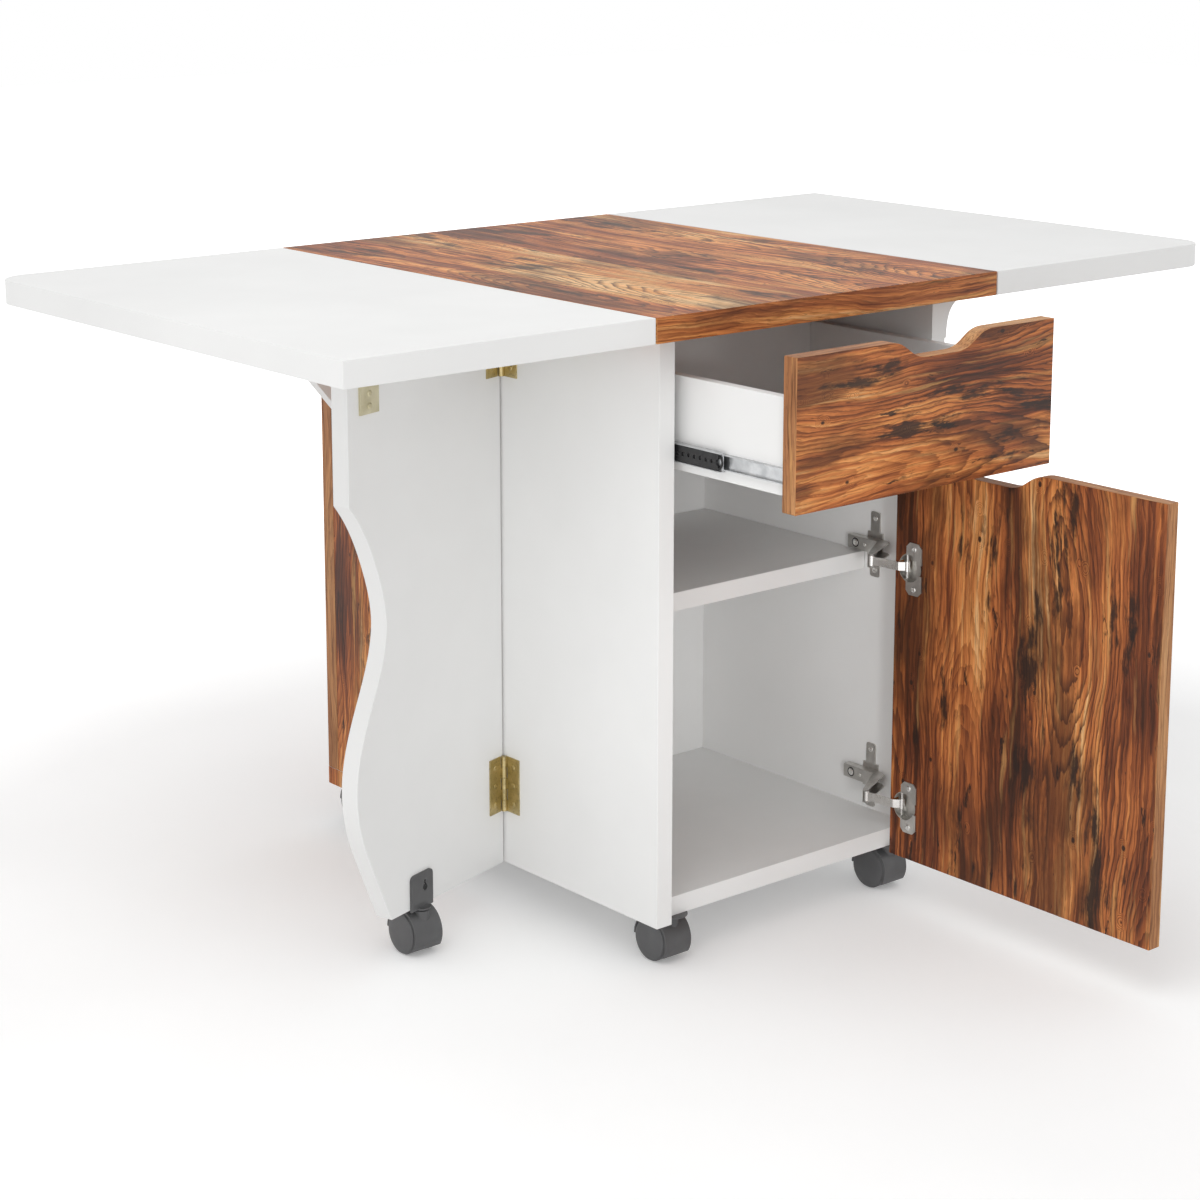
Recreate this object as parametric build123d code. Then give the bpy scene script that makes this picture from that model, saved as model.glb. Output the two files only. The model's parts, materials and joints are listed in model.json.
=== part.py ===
from build123d import *
from math import atan2, cos, degrees, hypot, radians, sin, sqrt
import os

# Rolling drop-leaf table: a cabinet on casters with a drawer and a door, two leaves on butt hinges,
# and two gates and two swing brackets that turn out to hold the leaves up.
# The model is drawn in the cabinet's own lengths, in millimetres: x to the right from the cabinet's
# middle, y backwards from its front and z up from the floor. Each piece is moved along y when it is
# written, which puts the origin on the floor under the middle of the whole table.

# Driving sizes: cabinet and tops
table_height = 750.0
top_thickness = 28.0
side_overhang = 40.0
front_overhang = 42.0
rear_overhang = 18.0
leaf_length = 390.0
leaf_seam = 1.5
leaf_corner_radius = 40.0
body_width = 440.0
body_depth = 640.0
panel_thickness = 22.0
white_side_depth = 294.0
divider_thickness = 16.0
shelf_height = 401.0
shelf_thickness = 22.0
shelf_hinge_gap = 5.5
shelf_gap = 1.0
shelf_pin_radius = 2.5
shelf_pin_depth = 8.0
shelf_pin_reach = 9.0
shelf_pin_front = 40.0
shelf_pin_rear = 37.0

# Driving sizes: drawer, door and slides
front_gap = 2.0
drawer_front_height = 164.0
drawer_front_thickness = 20.0
drawer_side_height = 104.0
drawer_side_thickness = 12.0
drawer_side_lift = 14.0
drawer_length = 350.0
drawer_bottom_thickness = 6.0
drawer_groove_depth = 4.0
drawer_bottom_lift = 6.0
drawer_rest = 184.0
door_thickness = 18.0
door_width = 388.0
wave_width = 160.0
wave_flat = 45.0
wave_depth = 20.0
drawer_wave_middle = 18.0
door_wave_middle = 52.0
slide_space = 13.0
slide_height = 25.0
slide_steel = 1.2
slide_setback = 22.0
slide_lift = 22.0
slide_rear_gap = 16.0
slide_lip_gap = 0.8
slide_inner_gap = 0.9
slide_lip_reach = 8.0
slide_flange_gap = 2.2

# Driving sizes: gates, brackets and their hinges
gate_rest_angle = 17.0
gate_reach = 275.0
gate_foot_reach = 213.0
gate_head_height = 540.0

# Waving edge of the gate from its head to its foot: reach from the pin, height above the floor
gate_wave = (
    (251.0, 508.0), (229.0, 462.0), (214.0, 396.0), (229.0, 339.0), (251.0, 293.0),
    (270.0, 228.0), (262.0, 165.0), (244.0, 123.0), (227.0, 87.0),
)

# Driving sizes: hinges, swing brackets and corbels
knuckle_gap = 0.5
support_gap = 0.3
bracket_setback = 73.5
bracket_reach = 140.0
bracket_drop = 165.0
bracket_thickness = 18.0
bracket_pad_length = 35.0
bracket_tip = 14.0
corbel_reach = 35.0
corbel_drop = 52.0
corbel_thickness = 20.0
corbel_setback = 2.0
corbel_edge = 5.0
corbel_pull_reach = 12.25
corbel_pull_drop = 9.0
corbel_pull_foot = 23.4
knuckle_radius = 3.5
hinge_leaf_thickness = 1.6
hinge_pin_radius = 1.6
hinge_running_gap = 0.07
hinge_row_gap = 0.3
hinge_screw_radius = 2.0
hinge_setback = 1.0
gate_hinge_length = 67.0
gate_hinge_width = 25.0
gate_hinge_lift = 65.0
gate_hinge_drop = 48.0
leaf_hinge_length = 60.0
leaf_hinge_width = 25.0
leaf_hinge_front = 130.0
leaf_hinge_middle = 350.0
leaf_hinge_rear = 100.0
bracket_hinge_length = 60.0
bracket_hinge_width = 22.0
bracket_hinge_drop = 84.5
angle_inset = 19.0
angle_width = 32.0
angle_steel = 2.5
angle_drop = 85.0
angle_screw_lifts = (8.5, 22.1)

# Driving sizes: casters
wheel_radius = 25.0
wheel_inner = 9.2
wheel_outer = 22.0
wheel_axle_radius = 3.0
tread_chamfer = 1.2
dome_start = 3.5
dome_drop = 4.0
caster_trail = 14.0
hood_gap = 0.8
hood_wall = 2.2
hood_sweep = 215.0
web_half = 8.5
boss_radius = 9.0
stub_radius = 4.0
stub_length = 18.0
stem_radius = 5.0
stem_length = 14.0
caster_running_gap = 0.05
mount_flange_radius = 19.0
mount_flange_thickness = 2.0
caster_head_gap = 2.0
caster_inset_x = 46.0
caster_inset_front = 29.0
caster_inset_rear = 26.0
gate_caster_reach = 160.0
gate_plate_width = 40.0
gate_plate_height = 40.0
gate_plate_steel = 3.0
gate_plate_drop = 2.4
gate_plate_corner = 6.0
keyhole_offset = 5.0
keyhole_lift = 21.0
keyhole_radius = 4.0
keyhole_slot_width = 3.4
keyhole_slot_length = 9.0
gate_flange_radius = 10.0
brake_pivot_depth = 9.3
brake_pivot_angle = 44.0
brake_tab_angle = 50.0
brake_tab_gap = 1.5
brake_pin_radius = 1.5
brake_hub_radius = 4.2
brake_slot_half = 5.3
brake_tab_half = 12.0
brake_tab_length = 11.5
brake_tab_thickness = 2.5

# Driving sizes: concealed door hinges, measured from the door's hinge edge and its back face
door_hinge_low = 44.0
door_hinge_high = 11.0
door_turn_x = -16.0
door_turn_y = -35.0
cup_pivot_x = -14.2
cup_pivot_y = -5.2
link_offset = 42.8
link_bends = ((-53.0, -25.9), (-51.7, -27.6))
link_half_thickness = 1.2
link_half_height = 5.0
link_eye_radius = 3.0
link_eye_half_height = 6.0
link_pin_radius = 1.5
cup_centre = 22.5
cup_radius = 17.3
cup_depth = 11.3
cup_wall = 1.0
bore_gap = 0.2
flange_near = 18.0
flange_far = 42.0
flange_half_height = 31.0
flange_steel = 1.2
flange_chamfer = 5.0
flange_screw_inset = 7.0
cup_slot_half = 6.5
cup_slot_depth = 8.0
arm_cheek_half = 8.0
arm_steel = 1.6
arm_web = 1.2
arm_web_cut = 8.0
hinge_plate_near = 51.5
hinge_plate_width = 25.0
hinge_plate_half_height = 40.0
hinge_plate_core_half = 15.0
hinge_wing_half = 7.5
hinge_wing_corner = 3.0
hinge_wing_screw_inset = 8.0
arm_tail = 100.0
arm_height_tail = 9.5
arm_height_shoulder = 11.0
arm_shoulder = 50.0
arm_foot = 44.0
arm_elbow = 36.0
arm_elbow_height = 4.0
arm_tip_reach = 3.5
arm_tip_height = 3.2
arm_tip_width = 6.0

# Lengths worked out from the sizes above
half_width = body_width / 2
inner_half = half_width - panel_thickness
top_half = half_width + side_overhang
deck = table_height - top_thickness
hood_inner = wheel_radius + hood_gap
hood_outer = hood_inner + hood_wall
hood_top = wheel_radius + hood_outer
caster_height = hood_top + caster_head_gap + mount_flange_thickness
floor_top = caster_height + panel_thickness
rear_inner = body_depth - panel_thickness
compartment_depth = slide_setback + drawer_length + slide_rear_gap
bottom_recess = door_thickness + front_gap
door_edge = inner_half - front_gap
door_bottom = caster_height + front_gap
front_top = deck - front_gap
drawer_front_bottom = front_top - drawer_front_height
drawer_low = drawer_front_bottom + drawer_side_lift
slide_centre_height = drawer_low + slide_lift
door_top = drawer_front_bottom - front_gap
door_hinge_heights = (floor_top + door_hinge_low, shelf_height + door_hinge_high)
shelf_front = door_thickness + hinge_plate_near + hinge_plate_width + shelf_hinge_gap
shelf_rear = compartment_depth - shelf_gap
shelf_pin_rows = (shelf_front + shelf_pin_front, shelf_rear - shelf_pin_rear)
leaf_hinge_rows = (leaf_hinge_front, leaf_hinge_middle, body_depth - leaf_hinge_rear)


def block(x, y, z):
    """Box between a low and a high value on each axis."""
    corner = (x[0], y[0], z[0])
    size = (x[1] - x[0], y[1] - y[0], z[1] - z[0])
    return Pos(*corner) * Box(*size, align=(Align.MIN, Align.MIN, Align.MIN))


def upright_rod(x, y, z, radius):
    """Round rod along z between two heights."""
    rod = Cylinder(radius, z[1] - z[0], align=(Align.CENTER, Align.CENTER, Align.MIN))
    return Pos(x, y, z[0]) * rod


def cross_rod(x, y, z, radius):
    """Round rod along x between two places."""
    rod = Cylinder(radius, x[1] - x[0], align=(Align.CENTER, Align.CENTER, Align.MIN))
    return Pos(x[0], y, z) * Rot(0, 90, 0) * rod


def plate_xy(face, z):
    """Flat outline in x and y, carried up from one height to another."""
    return extrude(Pos(0, 0, z[0]) * face, amount=z[1] - z[0], dir=(0, 0, 1))


def plate_xz(face, y):
    """Flat outline in x and z, carried backwards from one depth to another."""
    return extrude(Plane.XZ.offset(-y[0]) * face, amount=y[1] - y[0], dir=(0, 1, 0))


def plate_yz(face, x):
    """Flat outline in y and z, carried to the right from one place to another."""
    return extrude(Plane.YZ.offset(x[0]) * face, amount=x[1] - x[0], dir=(1, 0, 0))


def outline(*points):
    """Face inside a closed run of straight edges."""
    return make_face(Polyline(*points, close=True))


def turned(shape):
    """The same piece on the other side, half a turn about the cabinet's middle."""
    return Pos(0, body_depth, 0) * Rot(0, 0, 180) * shape


def swung(shape, x, y, angle):
    """The piece turned about an upright pin, anticlockwise from above."""
    return Pos(x, y, 0) * Rot(0, 0, angle) * Pos(-x, -y, 0) * shape


def swung_point(point, x, y, angle):
    """A point in x and y turned about an upright pin."""
    run = point[0] - x
    rise = point[1] - y
    turn = radians(angle)
    return (x + run * cos(turn) - rise * sin(turn), y + run * sin(turn) + rise * cos(turn))


def mirrored_x(shape):
    """The same piece mirrored to the other side of the cabinet."""
    return mirror(shape, about=Plane.YZ)


# Concealed door hinge: a crank link joins the arm on the cabinet to the cup in the door
hinge_x = door_edge
hinge_y = door_thickness
turn_x = hinge_x + door_turn_x
turn_y = hinge_y + door_turn_y
cup_pin = (hinge_x + cup_pivot_x, hinge_y + cup_pivot_y)
cup_pin_open = swung_point(cup_pin, turn_x, turn_y, 90)
middle_x = (cup_pin[0] + cup_pin_open[0]) / 2
middle_y = (cup_pin[1] + cup_pin_open[1]) / 2
pin_path = hypot(cup_pin[0] - cup_pin_open[0], cup_pin[1] - cup_pin_open[1])
arm_pin = (
    middle_x - link_offset * (cup_pin[1] - cup_pin_open[1]) / pin_path,
    middle_y + link_offset * (cup_pin[0] - cup_pin_open[0]) / pin_path,
)
link_angle_open = degrees(atan2(cup_pin_open[1] - arm_pin[1], cup_pin_open[0] - arm_pin[0]))
link_angle_closed = degrees(atan2(cup_pin[1] - arm_pin[1], cup_pin[0] - arm_pin[0]))
link_turn = link_angle_closed - link_angle_open
door_ratio = -(90 + link_turn) / link_turn

# Reach of the open door, which sets the middle of the whole table along y
door_free_edge = door_edge - door_width
door_open_reach = turn_y - (turn_x - door_free_edge)
front_reach = min(door_open_reach, -drawer_rest)
shift_y = -(front_reach + body_depth + rear_overhang) / 2


def save(name, *shapes):
    """Write one node, with each of its solids, in the table's frame."""
    solids = [solid for shape in shapes for solid in shape.solids()]
    placed = [Pos(0, shift_y, 0) * solid for solid in solids]
    export_step(placed[0] if len(placed) == 1 else Compound(placed), f"parts/{name}.step")


def report_axis(name, x, y, z):
    """Print where a joint's axis passes, in the table's frame."""
    print(f"axis {name} {x:.4f} {y + shift_y:.4f} {z:.4f}")


os.makedirs("parts", exist_ok=True)


# Cabinet panels
def pin_holes(side):
    """Shelf pin holes on one side of the compartment, as solids to cut away."""
    near = side * inner_half
    far = side * (inner_half + shelf_pin_depth)
    height = shelf_height - shelf_thickness - shelf_pin_radius
    span = (min(near, far), max(near, far))
    return [cross_rod(span, y, height, shelf_pin_radius) for y in shelf_pin_rows]


def without(shape, cuts):
    """The piece less each of a list of solids."""
    for cut in cuts:
        shape = shape - cut
    return shape


side_front = block((-half_width, -inner_half), (0, white_side_depth), (caster_height, deck))
side_rear = block((-half_width, -inner_half), (white_side_depth, rear_inner), (floor_top, deck))
side_right = block((inner_half, half_width), (0, rear_inner), (caster_height, deck))
save("side_panel_left_front", without(side_front, pin_holes(-1)))
save("side_panel_left_rear", without(side_rear, pin_holes(-1)))
save("side_panel_right", without(side_right, pin_holes(1)))
save("rear_panel", block((-half_width, half_width), (rear_inner, body_depth), (floor_top, deck)))

caster_x = half_width - caster_inset_x
caster_front_y = caster_inset_front
caster_rear_y = body_depth - caster_inset_rear
caster_places = {
    "front_left": (-caster_x, caster_front_y),
    "front_right": (caster_x, caster_front_y),
    "rear_left": (-caster_x, caster_rear_y),
    "rear_right": (caster_x, caster_rear_y),
}
floor_board = block((-inner_half, inner_half), (bottom_recess, white_side_depth), (caster_height, floor_top))
floor_board += block((-half_width, inner_half), (white_side_depth, rear_inner), (caster_height, floor_top))
floor_board += block((-half_width, half_width), (rear_inner, body_depth), (caster_height, floor_top))
for x, y in caster_places.values():
    floor_board -= upright_rod(x, y, (caster_height, caster_height + stem_length), stem_radius)
save("bottom_board", floor_board)

divider_y = (compartment_depth, compartment_depth + divider_thickness)
save("divider_panel", block((-inner_half, inner_half), divider_y, (floor_top, deck)))

shelf_half = inner_half - shelf_gap
shelf_z = (shelf_height - shelf_thickness, shelf_height)
save("shelf", block((-shelf_half, shelf_half), (shelf_front, shelf_rear), shelf_z))


def shelf_pin(side, y):
    """Round pin in the side panel that the shelf rests on."""
    near = side * (inner_half - shelf_pin_reach)
    far = side * (inner_half + shelf_pin_depth)
    height = shelf_height - shelf_thickness - shelf_pin_radius
    return cross_rod((min(near, far), max(near, far)), y, height, shelf_pin_radius)


save("shelf_pins", *[shelf_pin(side, y) for side in (-1, 1) for y in shelf_pin_rows])

top_y = (-front_overhang, body_depth + rear_overhang)
save("table_top", block((-top_half, top_half), top_y, (deck, table_height)))


# Fixed corbels under the top, at the front on the right and at the rear on the left
def corbel():
    """Small bracket with a hollow curve between its two ends."""
    x = half_width
    foot = (x + corbel_edge, deck - corbel_drop)
    head = (x + corbel_reach, deck - corbel_edge)
    pull_head = (x + corbel_pull_reach, deck - corbel_pull_drop)
    pull_foot = (x + corbel_edge, deck - corbel_pull_foot)
    edges = [
        Line((x, deck), (x + corbel_reach, deck)),
        Line((x + corbel_reach, deck), head),
        Bezier(head, pull_head, pull_foot, foot),
        Line(foot, (x, deck - corbel_drop)),
        Line((x, deck - corbel_drop), (x, deck)),
    ]
    return plate_xz(make_face(edges), (corbel_setback, corbel_setback + corbel_thickness))


save("top_corbels", corbel(), turned(corbel()))


# Leaves: each has one rounded corner, at the back on the left and at the front on the right
leaf_near = top_half + leaf_seam


def leaf():
    """Left leaf, level."""
    board = block((-leaf_near - leaf_length, -leaf_near), top_y, (deck, table_height))
    corner = min(board.edges().filter_by(Axis.Z), key=lambda edge: edge.center().X - edge.center().Y)
    return fillet(corner, leaf_corner_radius)


def turned_about_top(shape):
    """The same piece on the other side, half a turn about the middle of the top."""
    return Pos(0, top_y[0] + top_y[1], 0) * Rot(0, 0, 180) * shape


save("leaf_left", leaf())
save("leaf_right", turned_about_top(leaf()))


# Butt hinges: the pin stands a knuckle's radius off both boards
def hinge_leaf(length, width, rows, own, screws, with_pin):
    """One leaf on the plane y = knuckle_radius, reaching along x, with its knuckles about z."""
    thickness = (knuckle_radius - hinge_leaf_thickness, knuckle_radius)
    row = length / rows
    clear = knuckle_radius + hinge_pin_radius / 4
    piece = block((clear, width), thickness, (-length / 2, length / 2))
    for index in range(rows):
        if index % 2 != own:
            continue
        low = -length / 2 + index * row + hinge_row_gap / 2
        high = low + row - hinge_row_gap
        piece += block((0, clear + hinge_row_gap), thickness, (low, high))
        piece += upright_rod(0, 0, (low, high), knuckle_radius)
    if with_pin:
        piece += upright_rod(0, 0, (-length / 2, length / 2), hinge_pin_radius)
    else:
        bore = hinge_pin_radius + hinge_running_gap
        piece -= upright_rod(0, 0, (-length / 2, length / 2), bore)
    pitch = length / screws
    for index in range(screws):
        z = (index - (screws - 1) / 2) * pitch
        hole = Cylinder(hinge_screw_radius, 4 * knuckle_radius)
        piece -= Pos((clear + width) / 2, 0, z) * Rot(90, 0, 0) * hole
    return piece


def hinge_pair(length, width, rows, screws):
    """Fixed leaf with the pin, reaching along +x, and moving leaf, reaching along -x."""
    fixed = hinge_leaf(length, width, rows, 0, screws, True)
    moving = mirror(hinge_leaf(length, width, rows, 1, screws, False), about=Plane.YZ)
    return fixed, moving


# Leaf hinges: screwed to the undersides, with their pins along y under the seams
leaf_pin_x = top_half + leaf_seam / 2
leaf_pin_z = deck - knuckle_radius
leaf_fixed, leaf_moving = hinge_pair(leaf_hinge_length, leaf_hinge_width, 3, 2)


def under_top(shape, y):
    """Hinge piece laid along y under the left seam."""
    return Pos(-leaf_pin_x, y, leaf_pin_z) * Rot(90, 0, 0) * shape


top_flaps = [under_top(leaf_fixed, y) for y in leaf_hinge_rows]
leaf_flaps = [under_top(leaf_moving, y) for y in leaf_hinge_rows]
save("leaf_hinge_top_flaps", *top_flaps, *[turned(flap) for flap in top_flaps])
save("leaf_left_hinge_flaps", *leaf_flaps)
save("leaf_right_hinge_flaps", *[turned(flap) for flap in leaf_flaps])
report_axis("leaf_left", -leaf_pin_x, 0, leaf_pin_z)
report_axis("leaf_right", leaf_pin_x, 0, leaf_pin_z)

# Side hinges: pins upright, one leaf on the cabinet's side and one on the gate or bracket
side_pin_x = half_width + knuckle_radius
gate_back = white_side_depth
gate_front = gate_back - panel_thickness
gate_pin_y = gate_front - knuckle_radius
bracket_pin_y = body_depth - bracket_setback
gate_top = deck - 2 * knuckle_radius - knuckle_gap


def beside_cabinet(shape, y, z):
    """Fixed hinge leaf stood on the left side panel."""
    return Pos(-side_pin_x, y, z) * Rot(0, 0, -90) * shape


gate_fixed, gate_moving = hinge_pair(gate_hinge_length, gate_hinge_width, 5, 3)
gate_hinge_heights = (
    caster_height + gate_hinge_lift + gate_hinge_length / 2,
    deck - gate_hinge_drop,
)
gate_fixed_leaves = [beside_cabinet(gate_fixed, gate_pin_y, z) for z in gate_hinge_heights]
gate_moving_leaves = [Pos(-side_pin_x, gate_pin_y, z) * gate_moving for z in gate_hinge_heights]
save("gate_hinge_cabinet_leaves", *gate_fixed_leaves, *[turned(piece) for piece in gate_fixed_leaves])


def gate_leg():
    """Gate standing square to the cabinet, with its waving free edge."""
    head = (gate_reach, gate_head_height)
    foot = (gate_foot_reach, caster_height)
    free_edge = Spline(*[(-side_pin_x - reach, z) for reach, z in (head, *gate_wave, foot)])
    near = -half_width - hinge_setback
    edges = [
        Line((near, caster_height), (near, gate_top)),
        Line((near, gate_top), (-side_pin_x - gate_reach, gate_top)),
        Line((-side_pin_x - gate_reach, gate_top), free_edge @ 0),
        free_edge,
        Line(free_edge @ 1, (near, caster_height)),
    ]
    return plate_xz(make_face(edges), (gate_front, gate_back))


def gate_caster_plate():
    """Steel plate on the gate's face, with the pivot stub of its caster below."""
    x = -side_pin_x - gate_caster_reach
    low = caster_height - gate_plate_drop
    high = caster_height + gate_plate_height
    half = gate_plate_width / 2
    plate = block((x - half, x + half), (gate_front - gate_plate_steel, gate_front), (low, high))
    plate = fillet(plate.edges().filter_by(Axis.Y).group_by(Axis.Z)[-1], gate_plate_corner)
    key = (x + keyhole_offset, gate_front, caster_height + keyhole_lift)
    plate -= Pos(*key) * Rot(90, 0, 0) * Cylinder(keyhole_radius, 3 * gate_plate_steel)
    slot = Box(keyhole_slot_width, 3 * gate_plate_steel, keyhole_slot_length)
    plate -= Pos(key[0], key[1], key[2] + keyhole_slot_length / 2) * slot
    y = gate_front - gate_plate_steel / 2
    plate += upright_rod(x, y, (low, low + mount_flange_thickness), gate_flange_radius)
    stub_bottom = caster_height - mount_flange_thickness - stub_length
    plate += upright_rod(x, y, (stub_bottom, low + mount_flange_thickness), stub_radius)
    return plate


def gate_angle_bracket():
    """Brass angle at the gate's top: one arm on its face, the other under the leaf."""
    far = -side_pin_x - gate_reach + angle_inset
    x = (far, far + angle_width)
    high = deck - support_gap
    upright = block(x, (gate_front - angle_steel, gate_front), (deck - angle_drop, high))
    level = block(x, (gate_front - angle_steel, gate_back), (high - angle_steel, high))
    angle = upright + level
    for lift in angle_screw_lifts:
        screw = Cylinder(hinge_screw_radius, 4 * angle_steel)
        place = Pos((x[0] + x[1]) / 2, gate_front, deck - angle_drop + lift)
        angle -= place * Rot(90, 0, 0) * screw
    return angle


gate_pieces = {
    "gate_leg": [gate_leg()],
    "gate_hinge_leaves": gate_moving_leaves,
    "gate_caster_plate": [gate_caster_plate()],
    "gate_angle_bracket": [gate_angle_bracket()],
}
for side in ("left", "right"):
    angle = gate_rest_angle if side == "left" else 90
    for name, pieces in gate_pieces.items():
        placed = [swung(piece, -side_pin_x, gate_pin_y, angle) for piece in pieces]
        if side == "right":
            placed = [turned(piece) for piece in placed]
        save(name.replace("gate_", f"gate_{side}_", 1), *placed)
report_axis("gate_left", -side_pin_x, gate_pin_y, caster_height)
report_axis("gate_right", side_pin_x, body_depth - gate_pin_y, caster_height)


# Swing brackets: triangles that turn out under the leaves and fold flat against the cabinet
def leaf_bracket():
    """Bracket standing square to the cabinet, with a raised pad at its tip."""
    near = -half_width - hinge_setback
    far = -side_pin_x - bracket_reach
    pad = far + bracket_pad_length
    support = deck - support_gap
    face = outline(
        (near, gate_top - bracket_drop), (near, gate_top), (pad, gate_top), (pad, support),
        (far, support), (far, gate_top - bracket_tip), (near - bracket_tip, gate_top - bracket_drop),
    )
    front = bracket_pin_y + knuckle_radius
    return plate_xz(face, (front, front + bracket_thickness))


bracket_fixed, bracket_moving = hinge_pair(bracket_hinge_length, bracket_hinge_width, 3, 2)
bracket_hinge_height = gate_top - bracket_hinge_drop
bracket_fixed_leaf = beside_cabinet(bracket_fixed, bracket_pin_y, bracket_hinge_height)
bracket_moving_leaf = Pos(-side_pin_x, bracket_pin_y, bracket_hinge_height) * bracket_moving
save("bracket_hinge_cabinet_leaves", bracket_fixed_leaf, turned(bracket_fixed_leaf))
save("leaf_bracket_left", leaf_bracket())
save("bracket_left_hinge_leaf", bracket_moving_leaf)
save("leaf_bracket_right", turned(swung(leaf_bracket(), -side_pin_x, bracket_pin_y, 90)))
save("bracket_right_hinge_leaf", turned(swung(bracket_moving_leaf, -side_pin_x, bracket_pin_y, 90)))
report_axis("bracket_left", -side_pin_x, bracket_pin_y, gate_top)
report_axis("bracket_right", side_pin_x, body_depth - bracket_pin_y, gate_top)


# Telescopic drawer slides: a fixed outer rail, a middle rail and an inner rail on the drawer
def rail(face, start, side):
    """Rail along y on the left slide, or mirrored to the right one."""
    placed = Pos(-inner_half, 0, slide_centre_height) * plate_xz(face, (start, start + drawer_length))
    return placed if side == "left" else mirrored_x(placed)


def channel(back, lip, half_height, lip_steel):
    """Channel section: a back plate between two x values and a lip at each edge."""
    low_x = min(back + lip)
    high_x = max(back + lip)
    section = Pos((back[0] + back[1]) / 2, 0) * Rectangle(back[1] - back[0], 2 * half_height)
    for sign in (-1, 1):
        z = sign * (half_height - lip_steel / 2)
        section += Pos((low_x + high_x) / 2, z) * Rectangle(high_x - low_x, lip_steel)
    return section


outer_half = slide_height / 2
middle_half = outer_half - slide_steel - slide_lip_gap
inner_rail_half = middle_half - slide_steel - slide_inner_gap
outer_face = channel((0, slide_steel), (0, slide_lip_reach), outer_half, slide_steel)
middle_back = (slide_space - slide_steel) / 2
middle_lips = (slide_flange_gap, slide_space - slide_flange_gap - slide_steel)
middle_face = channel((middle_back, middle_back + slide_steel), middle_lips, middle_half, slide_steel)
inner_back = (slide_space - slide_steel, slide_space)
inner_lips = (slide_space - slide_lip_reach + slide_steel * 2, slide_space)
inner_face = channel(inner_back, inner_lips, inner_rail_half, slide_steel)
closed_start = slide_setback
sides = ("left", "right")
save("slide_outer_rails", *[rail(outer_face, closed_start, side) for side in sides])
save("slide_middle_rails", *[rail(middle_face, closed_start - drawer_rest / 2, side) for side in sides])
save("slide_inner_rails", *[rail(inner_face, closed_start - drawer_rest, side) for side in sides])


# Drawer and door, with a hand cut-out in each upper edge
def wave_cut(middle, top):
    """Outline of the hand cut-out: a flat bottom between two smooth rises."""
    rise = (wave_width - wave_flat) / 2
    left = middle - wave_width / 2
    right = middle + wave_width / 2
    bottom = top - wave_depth
    head = top + 10
    edges = [
        Line((left, head), (left, top)),
        Bezier((left, top), (left + rise / 2, top), (left + rise / 2, bottom), (left + rise, bottom)),
        Line((left + rise, bottom), (right - rise, bottom)),
        Bezier((right - rise, bottom), (right - rise / 2, bottom), (right - rise / 2, top), (right, top)),
        Line((right, top), (right, head)),
        Line((right, head), (left, head)),
    ]
    return make_face(edges)


def out(shape):
    """Drawer piece moved from its closed place to where the drawer rests."""
    return Pos(0, -drawer_rest, 0) * shape


drawer_front_y = (0, drawer_front_thickness)
drawer_front = block((-door_edge, door_edge), drawer_front_y, (drawer_front_bottom, front_top))
drawer_front -= plate_xz(wave_cut(drawer_wave_middle, front_top), drawer_front_y)
save("drawer_front", out(drawer_front))

drawer_side_outer = inner_half - slide_space
drawer_side_inner = drawer_side_outer - drawer_side_thickness
drawer_box_y = (drawer_front_thickness, drawer_front_thickness + drawer_length)
drawer_box_z = (drawer_low, drawer_low + drawer_side_height)
drawer_floor_low = drawer_low + drawer_bottom_lift
drawer_floor_z = (drawer_floor_low, drawer_floor_low + drawer_bottom_thickness)
drawer_floor_half = drawer_side_inner + drawer_groove_depth
drawer_floor_y = (drawer_front_thickness, drawer_box_y[1] - drawer_side_thickness + drawer_groove_depth)
drawer_floor = block((-drawer_floor_half, drawer_floor_half), drawer_floor_y, drawer_floor_z)
drawer_side = block((-drawer_side_outer, -drawer_side_inner), drawer_box_y, drawer_box_z) - drawer_floor
drawer_back_y = (drawer_box_y[1] - drawer_side_thickness, drawer_box_y[1])
drawer_back = block((-drawer_side_inner, drawer_side_inner), drawer_back_y, drawer_box_z) - drawer_floor
save("drawer_side_left", out(drawer_side))
save("drawer_side_right", out(mirrored_x(drawer_side)))
save("drawer_back", out(drawer_back))
save("drawer_bottom", out(drawer_floor))


def opened(shape):
    """Door piece turned from its closed place to where the door rests, open at a right angle."""
    return swung(shape, turn_x, turn_y, 90)


door_y = (0, door_thickness)
door = block((door_free_edge, door_edge), door_y, (door_bottom, door_top))
door -= plate_xz(wave_cut(door_wave_middle, door_top), door_y)
cup_x = hinge_x - cup_centre
for z in door_hinge_heights:
    depth = cup_depth + bore_gap
    bore = Cylinder(cup_radius + bore_gap, depth, align=(Align.CENTER, Align.CENTER, Align.MIN))
    door -= Pos(cup_x, door_thickness, z) * Rot(90, 0, 0) * bore
save("door", opened(door))


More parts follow.
